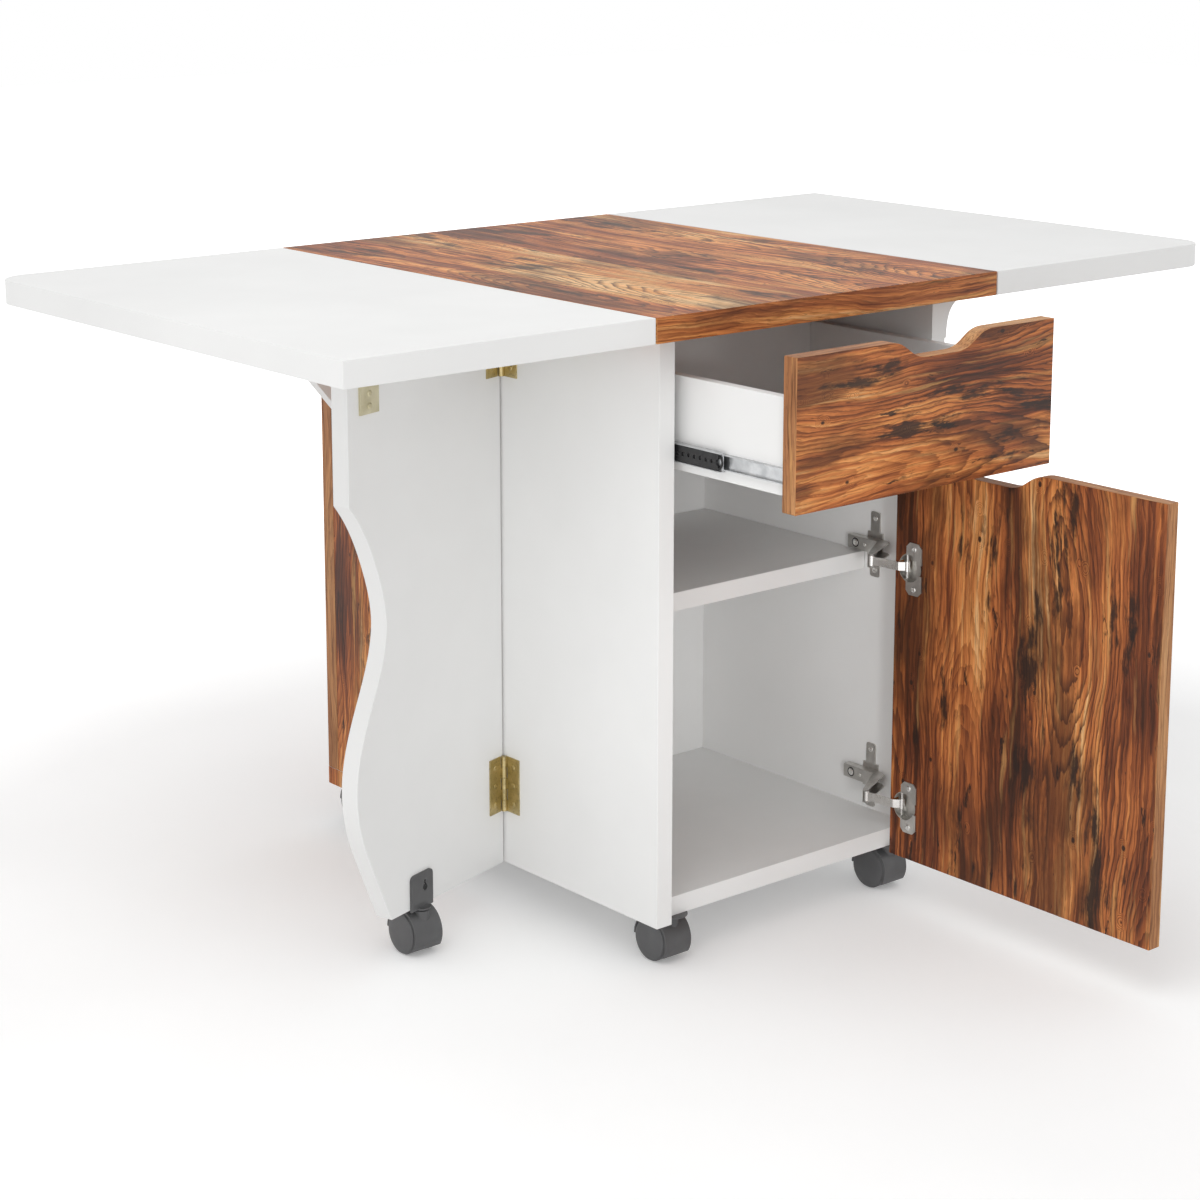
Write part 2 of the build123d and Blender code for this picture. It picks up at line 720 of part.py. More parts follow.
# Concealed hinge pieces, drawn with the door closed and then opened
def hinge_cup(z):
    """Cup in the door with its screw flange and the pin of the link."""
    cup = Cylinder(cup_radius, cup_depth, align=(Align.CENTER, Align.CENTER, Align.MIN))
    cup = Pos(cup_x, hinge_y, z) * Rot(90, 0, 0) * cup
    x = (hinge_x - flange_far, hinge_x - flange_near)
    flange = block(x, (hinge_y, hinge_y + flange_steel), (z - flange_half_height, z + flange_half_height))
    flange = chamfer(flange.edges().filter_by(Axis.Y), flange_chamfer)
    for sign in (-1, 1):
        screw_z = z + sign * (flange_half_height - flange_screw_inset)
        screw = Cylinder(hinge_screw_radius, 4 * flange_steel)
        flange -= Pos(hinge_x - (flange_near + flange_far) / 2, hinge_y, screw_z) * Rot(90, 0, 0) * screw
    cup += flange
    hollow_depth = cup_depth - cup_wall + flange_steel
    hollow = Cylinder(cup_radius - cup_wall, hollow_depth, align=(Align.CENTER, Align.CENTER, Align.MIN))
    cup -= Pos(cup_x, hinge_y + flange_steel, z) * Rot(90, 0, 0) * hollow
    slot_x = (hinge_x - flange_far - 5, hinge_x)
    slot_y = (hinge_y - cup_slot_depth, hinge_y + flange_steel + 1)
    cup -= block(slot_x, slot_y, (z - cup_slot_half, z + cup_slot_half))
    pin_side = abs(cup_pin[0] - cup_x) + link_pin_radius
    reach = sqrt(cup_radius ** 2 - pin_side ** 2) - 0.05
    cup += upright_rod(cup_pin[0], cup_pin[1], (z - reach, z + reach), link_pin_radius)
    return cup


def hinge_link(z):
    """Crank link in the open pose, from its eye on the arm to its eye in the cup."""
    bends = [(hinge_x + x, hinge_y + y) for x, y in link_bends]
    path = Polyline(arm_pin, *bends, cup_pin_open)
    strip = offset(path, amount=link_half_thickness, kind=Kind.ARC, side=Side.BOTH)
    link = plate_xy(make_face(strip.edges()), (z - link_half_height, z + link_half_height))
    eye_z = (z - link_eye_half_height, z + link_eye_half_height)
    for x, y in (arm_pin, cup_pin_open):
        link += upright_rod(x, y, eye_z, link_eye_radius)
    for x, y in (arm_pin, cup_pin_open):
        link -= upright_rod(x, y, eye_z, link_pin_radius + hinge_running_gap)
    return link


def hinge_arm(z):
    """Channel arm: two cheeks and a web along the plate, cranked out to the link's pin."""
    back = (hinge_x, hinge_y + arm_tail)
    back_top = (hinge_x - arm_height_tail, hinge_y + arm_tail)
    shoulder = (hinge_x - arm_height_shoulder, hinge_y + arm_shoulder)
    tip_top = (arm_pin[0] - arm_tip_reach, arm_pin[1] + arm_tip_height)
    tip_low = (tip_top[0] + 0.5, tip_top[1] - arm_tip_width)
    elbow = (hinge_x - arm_elbow_height, hinge_y + arm_elbow)
    foot = (hinge_x, hinge_y + arm_foot)
    profile = outline(back, back_top, shoulder, tip_top, tip_low, elbow, foot)
    solid = plate_xy(profile, (z - arm_cheek_half, z + arm_cheek_half))
    reach = hypot(tip_top[0] - shoulder[0], tip_top[1] - shoulder[1])
    along = ((tip_top[0] - shoulder[0]) / reach, (tip_top[1] - shoulder[1]) / reach)
    room_tip = (
        tip_top[0] - along[1] * arm_web + along[0] * arm_web_cut,
        tip_top[1] + along[0] * arm_web + along[1] * arm_web_cut,
    )
    room = outline(
        (inner_half, back[1] + 1), (back_top[0] + arm_web, back[1] + 1), (shoulder[0] + arm_web, shoulder[1]),
        room_tip, (room_tip[0] - arm_tip_reach, hinge_y), (inner_half, hinge_y),
    )
    inside = arm_cheek_half - arm_steel
    solid -= plate_xy(room, (z - inside, z + inside))
    solid += upright_rod(arm_pin[0], arm_pin[1], (z - arm_cheek_half, z + arm_cheek_half), link_pin_radius)
    return solid


def hinge_plate(z):
    """Cross-shaped plate on the side panel, with two wings for screws."""
    x = (hinge_x, inner_half)
    near = hinge_y + hinge_plate_near
    middle = near + hinge_plate_width / 2
    wing_y = (middle - hinge_wing_half, middle + hinge_wing_half)
    wings = block(x, wing_y, (z - hinge_plate_half_height, z + hinge_plate_half_height))
    wings = fillet(wings.edges().filter_by(Axis.X), hinge_wing_corner)
    for sign in (-1, 1):
        screw_z = z + sign * (hinge_plate_half_height - hinge_wing_screw_inset)
        wings -= cross_rod((x[0] - 1, x[1] + 1), middle, screw_z, hinge_screw_radius)
    core_z = (z - hinge_plate_core_half, z + hinge_plate_core_half)
    core = block(x, (near, near + hinge_plate_width), core_z)
    return wings + core


save("door_hinge_cups", *[opened(hinge_cup(z)) for z in door_hinge_heights])
save("door_hinge_links", *[hinge_link(z) for z in door_hinge_heights])
save("door_hinge_arms", *[hinge_arm(z) for z in door_hinge_heights])
save("door_hinge_plates", *[hinge_plate(z) for z in door_hinge_heights])
report_axis("door_hinge_links", arm_pin[0], arm_pin[1], door_hinge_heights[1])
report_axis("door", cup_pin_open[0], cup_pin_open[1], door_hinge_heights[1])
print(f"link turn to close {link_turn:.4f} degrees, door to link ratio {door_ratio:.6f}")

# Twin-wheel casters, drawn about the upright stub with the wheels trailing along +y
mount_flange_z = (caster_height - mount_flange_thickness, caster_height)
brake_pivot_reach = hood_outer - brake_pivot_depth
brake_pivot_y = caster_trail + brake_pivot_reach * cos(radians(brake_pivot_angle))
brake_pivot_z = wheel_radius + brake_pivot_reach * sin(radians(brake_pivot_angle))
brake_tab_start = caster_trail + hood_outer * cos(radians(brake_tab_angle)) + brake_tab_gap
brake_tab_low = wheel_radius + hood_outer * sin(radians(brake_tab_angle))


def caster_housing(brake):
    """Hood over both wheels with the web between them, bored for the stub and the axle."""
    centre = (caster_trail, wheel_radius)
    outer_arc = CenterArc(centre, hood_outer, 0, hood_sweep)
    inner_arc = CenterArc(centre, hood_inner, 0, hood_sweep)
    ends = [Line(outer_arc @ 1, inner_arc @ 1), Line(inner_arc @ 0, outer_arc @ 0)]
    shell = plate_yz(make_face([outer_arc, ends[0], inner_arc, ends[1]]), (-wheel_outer, wheel_outer))
    pie = make_face([outer_arc, Line(outer_arc @ 1, centre), Line(centre, outer_arc @ 0)])
    web = plate_yz(pie + Pos(*centre) * Circle(boss_radius), (-web_half, web_half))
    housing = shell + web
    stub_bottom = caster_height - mount_flange_thickness - stub_length - 1
    housing += upright_rod(0, 0, (stub_bottom, hood_top), web_half)
    housing -= upright_rod(0, 0, (stub_bottom, hood_top + 1), stub_radius + caster_running_gap)
    axle_bore = wheel_axle_radius + caster_running_gap
    housing -= cross_rod((-wheel_outer, wheel_outer), caster_trail, wheel_radius, axle_bore)
    if brake:
        slot_y = (brake_pivot_y - brake_hub_radius - hood_gap, caster_trail + hood_outer)
        slot_z = (brake_pivot_z - brake_hub_radius - hood_gap, hood_top + 1)
        housing -= block((-brake_slot_half, brake_slot_half), slot_y, slot_z)
        housing += cross_rod((-web_half, web_half), brake_pivot_y, brake_pivot_z, brake_pin_radius)
    return housing


def caster_wheels():
    """Two domed wheels and the axle that joins them."""
    profile = [
        Line((wheel_inner, 0), (wheel_inner, wheel_radius - tread_chamfer)),
        Line((wheel_inner, wheel_radius - tread_chamfer), (wheel_inner + tread_chamfer, wheel_radius)),
        Line((wheel_inner + tread_chamfer, wheel_radius), (wheel_outer - dome_start, wheel_radius)),
        Bezier(
            (wheel_outer - dome_start, wheel_radius), (wheel_outer - 1, wheel_radius - dome_drop),
            (wheel_outer, wheel_radius * 0.6), (wheel_outer, wheel_axle_radius),
        ),
        Line((wheel_outer, wheel_axle_radius), (wheel_outer, 0)),
        Line((wheel_outer, 0), (wheel_inner, 0)),
    ]
    wheel = revolve(make_face(profile), axis=Axis.X)
    place = Pos(0, caster_trail, wheel_radius)
    axle = cross_rod((-wheel_inner, wheel_inner), 0, 0, wheel_axle_radius)
    return [place * (wheel + axle + mirrored_x(wheel))]


def brake_lever():
    """Foot tab at the rear of the hood, turning on a pin across the web."""
    half = brake_slot_half - 0.4
    tab_z = (brake_tab_low, brake_tab_low + brake_tab_thickness)
    tab_start = brake_tab_start
    hub = (brake_pivot_y, brake_pivot_z)
    arm_face = outline(
        (brake_pivot_y - brake_hub_radius * 0.9, brake_pivot_z), (brake_pivot_y, tab_z[1]),
        (tab_start + 2, tab_z[1]), (tab_start + 2, tab_z[0]),
        (brake_pivot_y + brake_hub_radius * 0.9, brake_pivot_z),
    )
    lever = plate_yz(arm_face + Pos(*hub) * Circle(brake_hub_radius), (-half, half))
    tab = block((-brake_tab_half, brake_tab_half), (tab_start, tab_start + brake_tab_length), tab_z)
    tab = fillet(tab.edges().filter_by(Axis.Z).group_by(Axis.Y)[-1], 4)
    lever += tab
    lever -= cross_rod((-half - 1, half + 1), hub[0], hub[1], brake_pin_radius + caster_running_gap)
    return lever


def caster_mount(x, y):
    """Fixed part of a cabinet caster: stem in the bottom board, flange and pivot stub."""
    mount = upright_rod(x, y, mount_flange_z, mount_flange_radius)
    mount += upright_rod(x, y, (caster_height, caster_height + stem_length), stem_radius)
    mount += upright_rod(x, y, (mount_flange_z[0] - stub_length, caster_height), stub_radius)
    return mount


save("caster_mounts", *[caster_mount(x, y) for x, y in caster_places.values()])

gate_stub = (-side_pin_x - gate_caster_reach, gate_front - gate_plate_steel / 2)
gate_left_stub = swung_point(gate_stub, -side_pin_x, gate_pin_y, gate_rest_angle)
folded_stub = swung_point(gate_stub, -side_pin_x, gate_pin_y, 90)
caster_places["gate_left"] = gate_left_stub
caster_places["gate_right"] = (-folded_stub[0], body_depth - folded_stub[1])
braked = ("front_left", "front_right", "gate_left", "gate_right")
for name, (x, y) in caster_places.items():
    place = Pos(x, y, 0)
    save(f"caster_{name}_housing", place * caster_housing(name in braked))
    save(f"caster_{name}_wheels", *[place * piece for piece in caster_wheels()])
    if name in braked:
        save(f"caster_{name}_brake_lever", place * brake_lever())
        report_axis(f"caster_{name}_brake", x, y + brake_pivot_y, brake_pivot_z)
    report_axis(f"caster_{name}_swivel", x, y, hood_top)
    report_axis(f"caster_{name}_roll", x, y + caster_trail, wheel_radius)
print(f"shift along y {shift_y:.4f}, front reach {front_reach:.4f}")
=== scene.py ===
# %% [markdown]
# Rolling drop-leaf table, dressed for rendering.
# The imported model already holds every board, hinge, slide and caster in its true place.
# This lesson gives each of them its finish and its eased edges, turns finer caster wheels, and
# adds the small fittings that make such furniture look real: screws, adjusters, ball cages,
# end stops and latches.

# %% Load the frame
import json
import math

import bpy
from mathutils import Matrix, Vector

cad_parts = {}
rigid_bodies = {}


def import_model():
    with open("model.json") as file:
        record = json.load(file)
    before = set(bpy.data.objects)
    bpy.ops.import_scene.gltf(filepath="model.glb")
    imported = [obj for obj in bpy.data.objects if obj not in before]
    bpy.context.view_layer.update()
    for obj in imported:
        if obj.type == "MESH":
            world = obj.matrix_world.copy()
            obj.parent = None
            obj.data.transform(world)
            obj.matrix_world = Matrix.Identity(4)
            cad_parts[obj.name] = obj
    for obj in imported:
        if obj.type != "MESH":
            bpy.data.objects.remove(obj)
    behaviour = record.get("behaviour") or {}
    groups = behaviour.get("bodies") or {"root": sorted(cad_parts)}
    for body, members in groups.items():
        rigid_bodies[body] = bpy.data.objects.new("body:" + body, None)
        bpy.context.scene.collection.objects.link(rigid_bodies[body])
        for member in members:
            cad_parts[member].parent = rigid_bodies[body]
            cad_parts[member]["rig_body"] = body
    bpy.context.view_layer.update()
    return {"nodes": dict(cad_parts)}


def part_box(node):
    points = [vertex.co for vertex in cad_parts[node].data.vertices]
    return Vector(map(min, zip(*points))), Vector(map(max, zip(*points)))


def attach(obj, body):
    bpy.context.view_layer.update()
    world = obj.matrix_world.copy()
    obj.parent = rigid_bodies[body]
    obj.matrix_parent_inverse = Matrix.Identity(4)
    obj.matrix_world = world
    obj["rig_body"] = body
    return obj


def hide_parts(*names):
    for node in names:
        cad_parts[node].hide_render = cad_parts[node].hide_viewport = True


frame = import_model()

# %% [markdown]
# The camera comes first, so that every later choice can be judged from the photograph's side.
# The photograph's upright edges are parallel although it looks down from above, which takes a
# level camera and a large shift. That shift would push the table out of every other view, so
# the camera keeps its place, tilts down part of the way, and shifts only for the rest.

# %% Camera
camera_place = (-2.0490, -2.2253, 1.1933)
camera_turn = math.radians(-39.885)
camera_tilt = math.radians(11.45)
camera_data = bpy.data.cameras.new("view")
camera_data.sensor_width = 36
camera_data.lens = 80.16
camera_data.shift_y = -0.15
camera = bpy.data.objects.new("view", camera_data)
camera.location = camera_place
camera.rotation_euler = (math.radians(90) - camera_tilt, 0, camera_turn)
bpy.context.scene.collection.objects.link(camera)
bpy.context.scene.camera = camera
bpy.context.scene.view_settings.view_transform = "Standard"
print("camera", camera_place)

# %% [markdown]
# A finish in Blender is a small network of nodes that ends in one shader.
# Building it by hand needs the same few moves again and again: place a pattern, stretch it,
# pick a range of it, and mix two colours by it. This helper holds those moves, so that each
# finish below reads as a list of what is seen on the real surface.


# %% Helper for finishes
def colour(code):
    """Colour written as six hex digits, turned into linear light."""
    parts = [int(code[start:start + 2], 16) / 255 for start in (0, 2, 4)]
    linear = [part / 12.92 if part <= 0.04045 else ((part + 0.055) / 1.055) ** 2.4 for part in parts]
    return (*linear, 1.0)


class Finish:
    """One material, built node by node on the piece's own coordinates."""

    def __init__(self, name):
        self.material = bpy.data.materials.new(name)
        self.material.use_nodes = True
        self.tree = self.material.node_tree
        self.shader = self.tree.nodes["Principled BSDF"]
        self.place = self.add("ShaderNodeTexCoord").outputs["Object"]

    def add(self, kind, inputs=None, **settings):
        """New node with its settings, and its inputs linked or set."""
        made = self.tree.nodes.new(kind)
        for key, value in settings.items():
            setattr(made, key, value)
        for key, value in (inputs or {}).items():
            if isinstance(value, bpy.types.NodeSocket):
                self.tree.links.new(value, made.inputs[key])
            else:
                made.inputs[key].default_value = value
        return made

    def sum(self, first, second, operation="ADD"):
        """Two numbers joined by one sum."""
        return self.add("ShaderNodeMath", {0: first, 1: second}, operation=operation).outputs[0]

    def stretch(self, vector, factors, shift=(0, 0, 0)):
        """Pattern space drawn out along each axis and moved."""
        scaled = self.add("ShaderNodeVectorMath", {0: vector, 1: factors}, operation="MULTIPLY").outputs[0]
        return self.add("ShaderNodeVectorMath", {0: scaled, 1: shift}, operation="ADD").outputs[0]

    def noise(self, vector, scale=1.0, detail=3.0, roughness=0.5):
        """Soft cloudy pattern between 0 and 1."""
        inputs = {"Vector": vector, "Scale": scale, "Detail": detail, "Roughness": roughness}
        return self.add("ShaderNodeTexNoise", inputs).outputs[0]

    def levels(self, value, low, high, out_low=0.0, out_high=1.0):
        """Part of a pattern's range, spread between two new values."""
        inputs = {0: value, 1: low, 2: high, 3: out_low, 4: out_high}
        return self.add("ShaderNodeMapRange", inputs, clamp=True).outputs[0]

    def ramp(self, value, stops):
        """Colours along a pattern's range."""
        made = self.add("ShaderNodeValToRGB", {0: value})
        bands = made.color_ramp.elements
        while len(bands) < len(stops):
            bands.new(0.5)
        for band, (position, tint) in zip(bands, stops):
            band.position = position
            band.color = colour(tint)
        return made.outputs[0]

    def mix(self, factor, first, second, blend="MIX"):
        """Two colours mixed by a factor."""
        made = self.add("ShaderNodeMix", data_type="RGBA", blend_type=blend)
        for socket, value in ((0, factor), (6, first), (7, second)):
            if isinstance(value, bpy.types.NodeSocket):
                self.tree.links.new(value, made.inputs[socket])
            else:
                made.inputs[socket].default_value = value
        return made.outputs[2]

    def relief(self, height, strength, distance):
        """Fine relief on the surface, in metres."""
        inputs = {"Height": height, "Strength": strength, "Distance": distance}
        bump = self.add("ShaderNodeBump", inputs)
        self.tree.links.new(bump.outputs[0], self.shader.inputs["Normal"])

    def feed(self, **sockets):
        """Shader inputs by name, with spaces written as underscores."""
        for key, value in sockets.items():
            socket = self.shader.inputs[key.replace("_", " ")]
            if isinstance(value, bpy.types.NodeSocket):
                self.tree.links.new(value, socket)
            else:
                socket.default_value = value
        return self.material


print("finish helper ready")

# %% [markdown]
# The boards are covered with a printed rustic wood: orange brown with scorched marks, long fine
# fibres, nested arches where growth rings were cut flat, and a few knots. Such a print is made
# from real planks glued side by side, so the finish is built the same way. First comes the
# space it lives in: along the grain, across it, and into the board, swayed a little sideways.

# %% Space along the grain
WOOD_TONES = (
    (0.38, "42210F"), (0.44, "793E21"), (0.49, "AC6133"),
    (0.53, "CE7C43"), (0.575, "E69A57"), (0.63, "F6C288"),
)
# The top's tones are a lighter copy of the wood tones. They paint light and sheen onto the top, for the
# stronger light it gets from above.
LIT_TOP_TONES = (
    (0.38, "7A3F22"), (0.44, "AC5F33"), (0.49, "D58248"),
    (0.53, "EE9C5A"), (0.575, "F9B670"), (0.63, "FFD198"),
)
BAND_TONES = (
    (0.3, "8A5532"), (0.43, "B0764A"), (0.52, "C88E5B"), (0.6, "D9A571"), (0.7, "E6BC8C"),
)


def grain_space(wood, grain, across, seed):
    """Board coordinates, plain and swayed, with the grain along the first of them."""
    axes = wood.add("ShaderNodeSeparateXYZ", {0: wood.place}).outputs
    deep = 3 - grain - across
    board = wood.add("ShaderNodeCombineXYZ", {0: axes[grain], 1: axes[across], 2: axes[deep]}).outputs[0]
    board = wood.stretch(board, (1, 1, 1), (seed * 1.37, seed * 0.71, seed * 2.3))
    slow = wood.levels(wood.noise(wood.stretch(board, (1.8, 4, 4)), detail=2), 0, 1, -0.035, 0.035)
    quick = wood.levels(wood.noise(wood.stretch(board, (12, 26, 26)), detail=3), 0, 1, -0.007, 0.007)
    sway = wood.add("ShaderNodeCombineXYZ", {1: wood.sum(slow, quick)}).outputs[0]
    return board, wood.add("ShaderNodeVectorMath", {0: board, 1: sway}, operation="ADD").outputs[0]


print("wood tones", len(WOOD_TONES), len(LIT_TOP_TONES), len(BAND_TONES))

# %% [markdown]
# A knot is a branch cut across. A coarse cell pattern places them: each cell has one point, and
# only the few cells whose random shade is high enough get a knot. The distance to that point
# tells the heart of the knot from the wood that bends round it.

# %% Knots


def knot_field(wood, board, share):
    """How near a knot is, and where its dark heart lies."""
    spread = wood.stretch(board, (5.2, 7.5, 0))
    cells = wood.add("ShaderNodeTexVoronoi", {"Vector": spread, "Randomness": 1.0})
    chance = wood.add("ShaderNodeSeparateColor", {0: cells.outputs["Color"]}).outputs[0]
    present = wood.levels(chance, 0.66, 0.68, 0, share)
    ragged = wood.levels(wood.noise(wood.stretch(board, (60, 90, 90)), detail=2), 0, 1, -0.03, 0.03)
    distance = wood.sum(cells.outputs["Distance"], ragged)
    near = wood.sum(wood.levels(distance, 0.3, 0.0), present, "MULTIPLY")
    heart = wood.sum(wood.levels(distance, 0.11, 0.07), present, "MULTIPLY")
    return near, heart


print("knots ready")

# %% [markdown]
# A plank is a flat cut through a bundle of tubes, the growth rings. The distance from the pith
# is the length of two parts: how far a point lies off the stave's middle, and how deep the pith
# lies under the surface there. Because that depth rises and falls along the plank, the rings
# come out as nested ovals and arches, as on real flat-sawn wood. Each ring is pale at first and
# darkens towards a thin sharp line of late wood, which is a saw-tooth of that distance.

# %% Growth rings
stave_width = 0.14
ring_pitch = 0.0046


def growth_rings(wood, board, swayed, near_knot):
    """Saw-tooth across each ring, from pale to dark wood, and the number of the stave."""
    plain = wood.add("ShaderNodeSeparateXYZ", {0: board}).outputs
    swung = wood.add("ShaderNodeSeparateXYZ", {0: swayed}).outputs
    stave = wood.sum(wood.sum(plain[1], stave_width, "DIVIDE"), 0.0, "FLOOR")
    middle = wood.sum(wood.sum(stave, 0.5), stave_width, "MULTIPLY")
    own = wood.add("ShaderNodeTexWhiteNoise", {"W": stave}, noise_dimensions="1D").outputs[0]
    off_middle = wood.sum(wood.sum(swung[1], middle, "SUBTRACT"), wood.levels(own, 0, 1, -0.04, 0.04))
    along = wood.sum(plain[0], 1.5, "MULTIPLY")
    track = wood.add("ShaderNodeCombineXYZ", {0: along, 1: wood.sum(stave, 5.17, "MULTIPLY")}).outputs[0]
    depth = wood.levels(wood.noise(track, detail=1), 0.3, 0.7, 0.008, 0.085)
    offset = wood.add("ShaderNodeCombineXYZ", {0: off_middle, 1: depth}).outputs[0]
    from_pith = wood.add("ShaderNodeVectorMath", {0: offset}, operation="LENGTH").outputs["Value"]
    uneven = wood.levels(wood.noise(wood.stretch(swayed, (4, 26, 26)), detail=3), 0, 1, -0.009, 0.009)
    shaky = wood.levels(wood.noise(wood.stretch(swayed, (40, 260, 260)), detail=2), 0, 1, -0.0014, 0.0014)
    bent = wood.sum(near_knot, 0.03, "MULTIPLY")
    distance = wood.sum(wood.sum(from_pith, uneven), wood.sum(shaky, bent))
    return wood.sum(wood.sum(distance, ring_pitch, "DIVIDE"), 0.0, "FRACT"), own


print("growth rings ready")

# %% [markdown]
# Rustic wood is brushed and singed. The flame blackens the surface in ragged patches whose
# edges follow the fibres, leaves short sooty marks, and spares some hard golden streaks. Small
# round holes are old worm tracks.

# %% Scorch marks


def scorched(wood, tint, board, swayed, fibres, depth):
    """Wood colour with smoky zones, black patches, short sooty marks and worm holes."""
    smoke = wood.noise(wood.stretch(swayed, (4.2, 12, 12), (6, 1, 9)), detail=5, roughness=0.62)
    smoke = wood.sum(smoke, wood.levels(fibres, 0, 1, -0.05, 0.05))
    tint = wood.mix(wood.levels(smoke, 0.49, 0.6, 0, 0.75 * depth), tint, colour("43230F"))
    patch = wood.noise(wood.stretch(swayed, (5.5, 19, 19), (13, 5, 8)), detail=6, roughness=0.66)
    frayed = wood.sum(patch, wood.levels(fibres, 0, 1, -0.09, 0.09))
    tint = wood.mix(wood.levels(frayed, 0.56, 0.615, 0, depth), tint, colour("27170F"))
    marks = wood.noise(wood.stretch(swayed, (11, 52, 52), (2, 8, 3)), detail=5, roughness=0.7)
    tint = wood.mix(wood.levels(marks, 0.625, 0.665, 0, depth), tint, colour("20130C"))
    spread = wood.stretch(board, (26, 26, 0))
    holes = wood.add("ShaderNodeTexVoronoi", {"Vector": spread, "Randomness": 1.0})
    chance = wood.add("ShaderNodeSeparateColor", {0: holes.outputs["Color"]}).outputs[0]
    present = wood.levels(chance, 0.84, 0.86)
    hole = wood.sum(wood.levels(holes.outputs["Distance"], 0.06, 0.035), present, "MULTIPLY")
    return wood.mix(wood.sum(hole, depth, "MULTIPLY"), tint, colour("1C100A"))


print("scorch marks ready")

# %% [markdown]
# The whole finish lays these on each other: broad blotches and narrow streaks choose the tone,
# each stave has a slightly different shade, late wood draws the rings, golden flares and fine
# fibres run along the grain, and open pores end as short dark dashes. The same fibres drive
# the gloss and a shallow relief, so that a light drawn over the board follows the grain.

# %% Rustic wood


def rustic_wood(name, grain, across, seed, tones=WOOD_TONES, scorch=0.92, ring_depth=0.82, knots=0.95):
    """Printed rustic wood with its grain along one axis and its width across another."""
    wood = Finish(name)
    board, swayed = grain_space(wood, grain, across, seed)
    near_knot, knot_heart = knot_field(wood, board, knots)
    ring, own_shade = growth_rings(wood, board, swayed, near_knot)
    late = wood.sum(wood.levels(ring, 0.5, 0.92), wood.levels(ring, 1.0, 0.95), "MULTIPLY")
    clearness = wood.noise(wood.stretch(board, (2.2, 8, 8), (7, 3, 1)), detail=2)
    late = wood.sum(late, wood.levels(clearness, 0.4, 0.58, 0.3, 1.0), "MULTIPLY")

    blotches = wood.noise(wood.stretch(swayed, (3.6, 11, 11)), detail=3)
    streaks = wood.noise(wood.stretch(swayed, (1.9, 75, 75), (5, 2, 1)), detail=7, roughness=0.66)
    tone = wood.sum(wood.sum(blotches, 0.45, "MULTIPLY"), wood.sum(streaks, 0.55, "MULTIPLY"))
    tone = wood.sum(tone, wood.levels(own_shade, 0, 1, -0.02, 0.03))
    tone = wood.sum(tone, wood.levels(ring, 0, 1, 0.012, -0.02))
    tint = wood.ramp(tone, tones)
    fibres = wood.noise(wood.stretch(swayed, (14, 420, 420)), detail=4, roughness=0.65)
    fibre_shade = wood.ramp(fibres, ((0.32, "A69B91"), (0.5, "EFEDEA"), (0.66, "FFFFFF")))
    tint = wood.mix(1.0, tint, fibre_shade, "MULTIPLY")
    tint = wood.mix(wood.sum(late, ring_depth, "MULTIPLY"), tint, colour("3B1E11"))
    flare = wood.levels(wood.noise(wood.stretch(swayed, (5.5, 95, 95), (3, 9, 4)), detail=4), 0.6, 0.74)
    tint = wood.mix(wood.sum(flare, 0.55, "MULTIPLY"), tint, colour("E8B06C"))

    rough_fibres = wood.noise(wood.stretch(swayed, (7, 170, 170)), detail=4, roughness=0.7)
    tint = scorched(wood, tint, board, swayed, rough_fibres, scorch)
    tint = wood.mix(knot_heart, tint, colour("2A170D"))
    pores = wood.levels(wood.noise(wood.stretch(swayed, (90, 1100, 1100)), detail=1), 0.66, 0.74, 0, 0.55)
    tint = wood.mix(pores, tint, colour("2A150C"))

    gloss = wood.levels(fibres, 0.3, 0.7, 0.56, 0.44)
    height = wood.sum(fibres, wood.sum(late, 0.8, "MULTIPLY"), "SUBTRACT")
    wood.relief(wood.sum(height, pores, "SUBTRACT"), 0.28, 0.0002)
    return wood.feed(Base_Color=tint, Roughness=gloss, Specular_IOR_Level=0.3)


X, Y, Z = 0, 1, 2
# The top face takes the lighter tones, which paint light and sheen onto it.
top_face = rustic_wood("wood_lit_top_face", Y, X, 4, LIT_TOP_TONES, 0.8)
top_front_band = rustic_wood("wood_top_front_band", X, Z, 9, ring_depth=0.4, scorch=0.3, knots=0.0)
top_side_band = rustic_wood("wood_top_side_band", Y, Z, 2, ring_depth=0.4, scorch=0.4, knots=0.0)
drawer_face = rustic_wood("wood_drawer_face", X, Z, 3)
door_face = rustic_wood("wood_door_face", Z, Y, 6)
rear_side_face = rustic_wood("wood_rear_side_face", Z, Y, 11)
rear_face = rustic_wood("wood_rear_face", Z, X, 7)
band_along_x = rustic_wood("wood_band_x", X, Y, 5, BAND_TONES, 0.12, 0.3, 0.0)
band_along_y = rustic_wood("wood_band_y", Y, X, 8, BAND_TONES, 0.12, 0.3, 0.0)
band_upright_x = rustic_wood("wood_band_upright_x", Z, X, 12, BAND_TONES, 0.12, 0.3, 0.0)
band_upright_y = rustic_wood("wood_band_upright_y", Z, Y, 14, BAND_TONES, 0.12, 0.3, 0.0)
print("wood finishes", 11)

# %% [markdown]
# The other boards carry a plain white laminate. It isn't perfectly even: its white drifts by
# a percent or so, and a very fine orange-peel relief softens the reflections.

# %% White laminate


def laminate():
    """Matte white laminate."""
    white = Finish("white_laminate")
    drift = white.noise(white.place, 2.5, 4, 0.6)
    tint = white.ramp(drift, ((0.3, "ECECEB"), (0.7, "F4F4F3")))
    peel = white.noise(white.place, 1500, 2)
    white.relief(peel, 0.06, 0.0001)
    gloss = white.levels(white.noise(white.place, 9, 3), 0.3, 0.7, 0.42, 0.52)
    return white.feed(Base_Color=tint, Roughness=gloss, Specular_IOR_Level=0.35)


white_laminate = laminate()
print("white laminate made")

# %% [markdown]
# The fittings are nickel-plated steel in two grades, zinc-plated steel and two kinds of brass.
# Plated sheet metal is brushed and slightly cloudy, so roughness and colour drift together.
# Antique brass is darker in its hollows and rubbed bright where hands and screws touch it.

# %% Metals


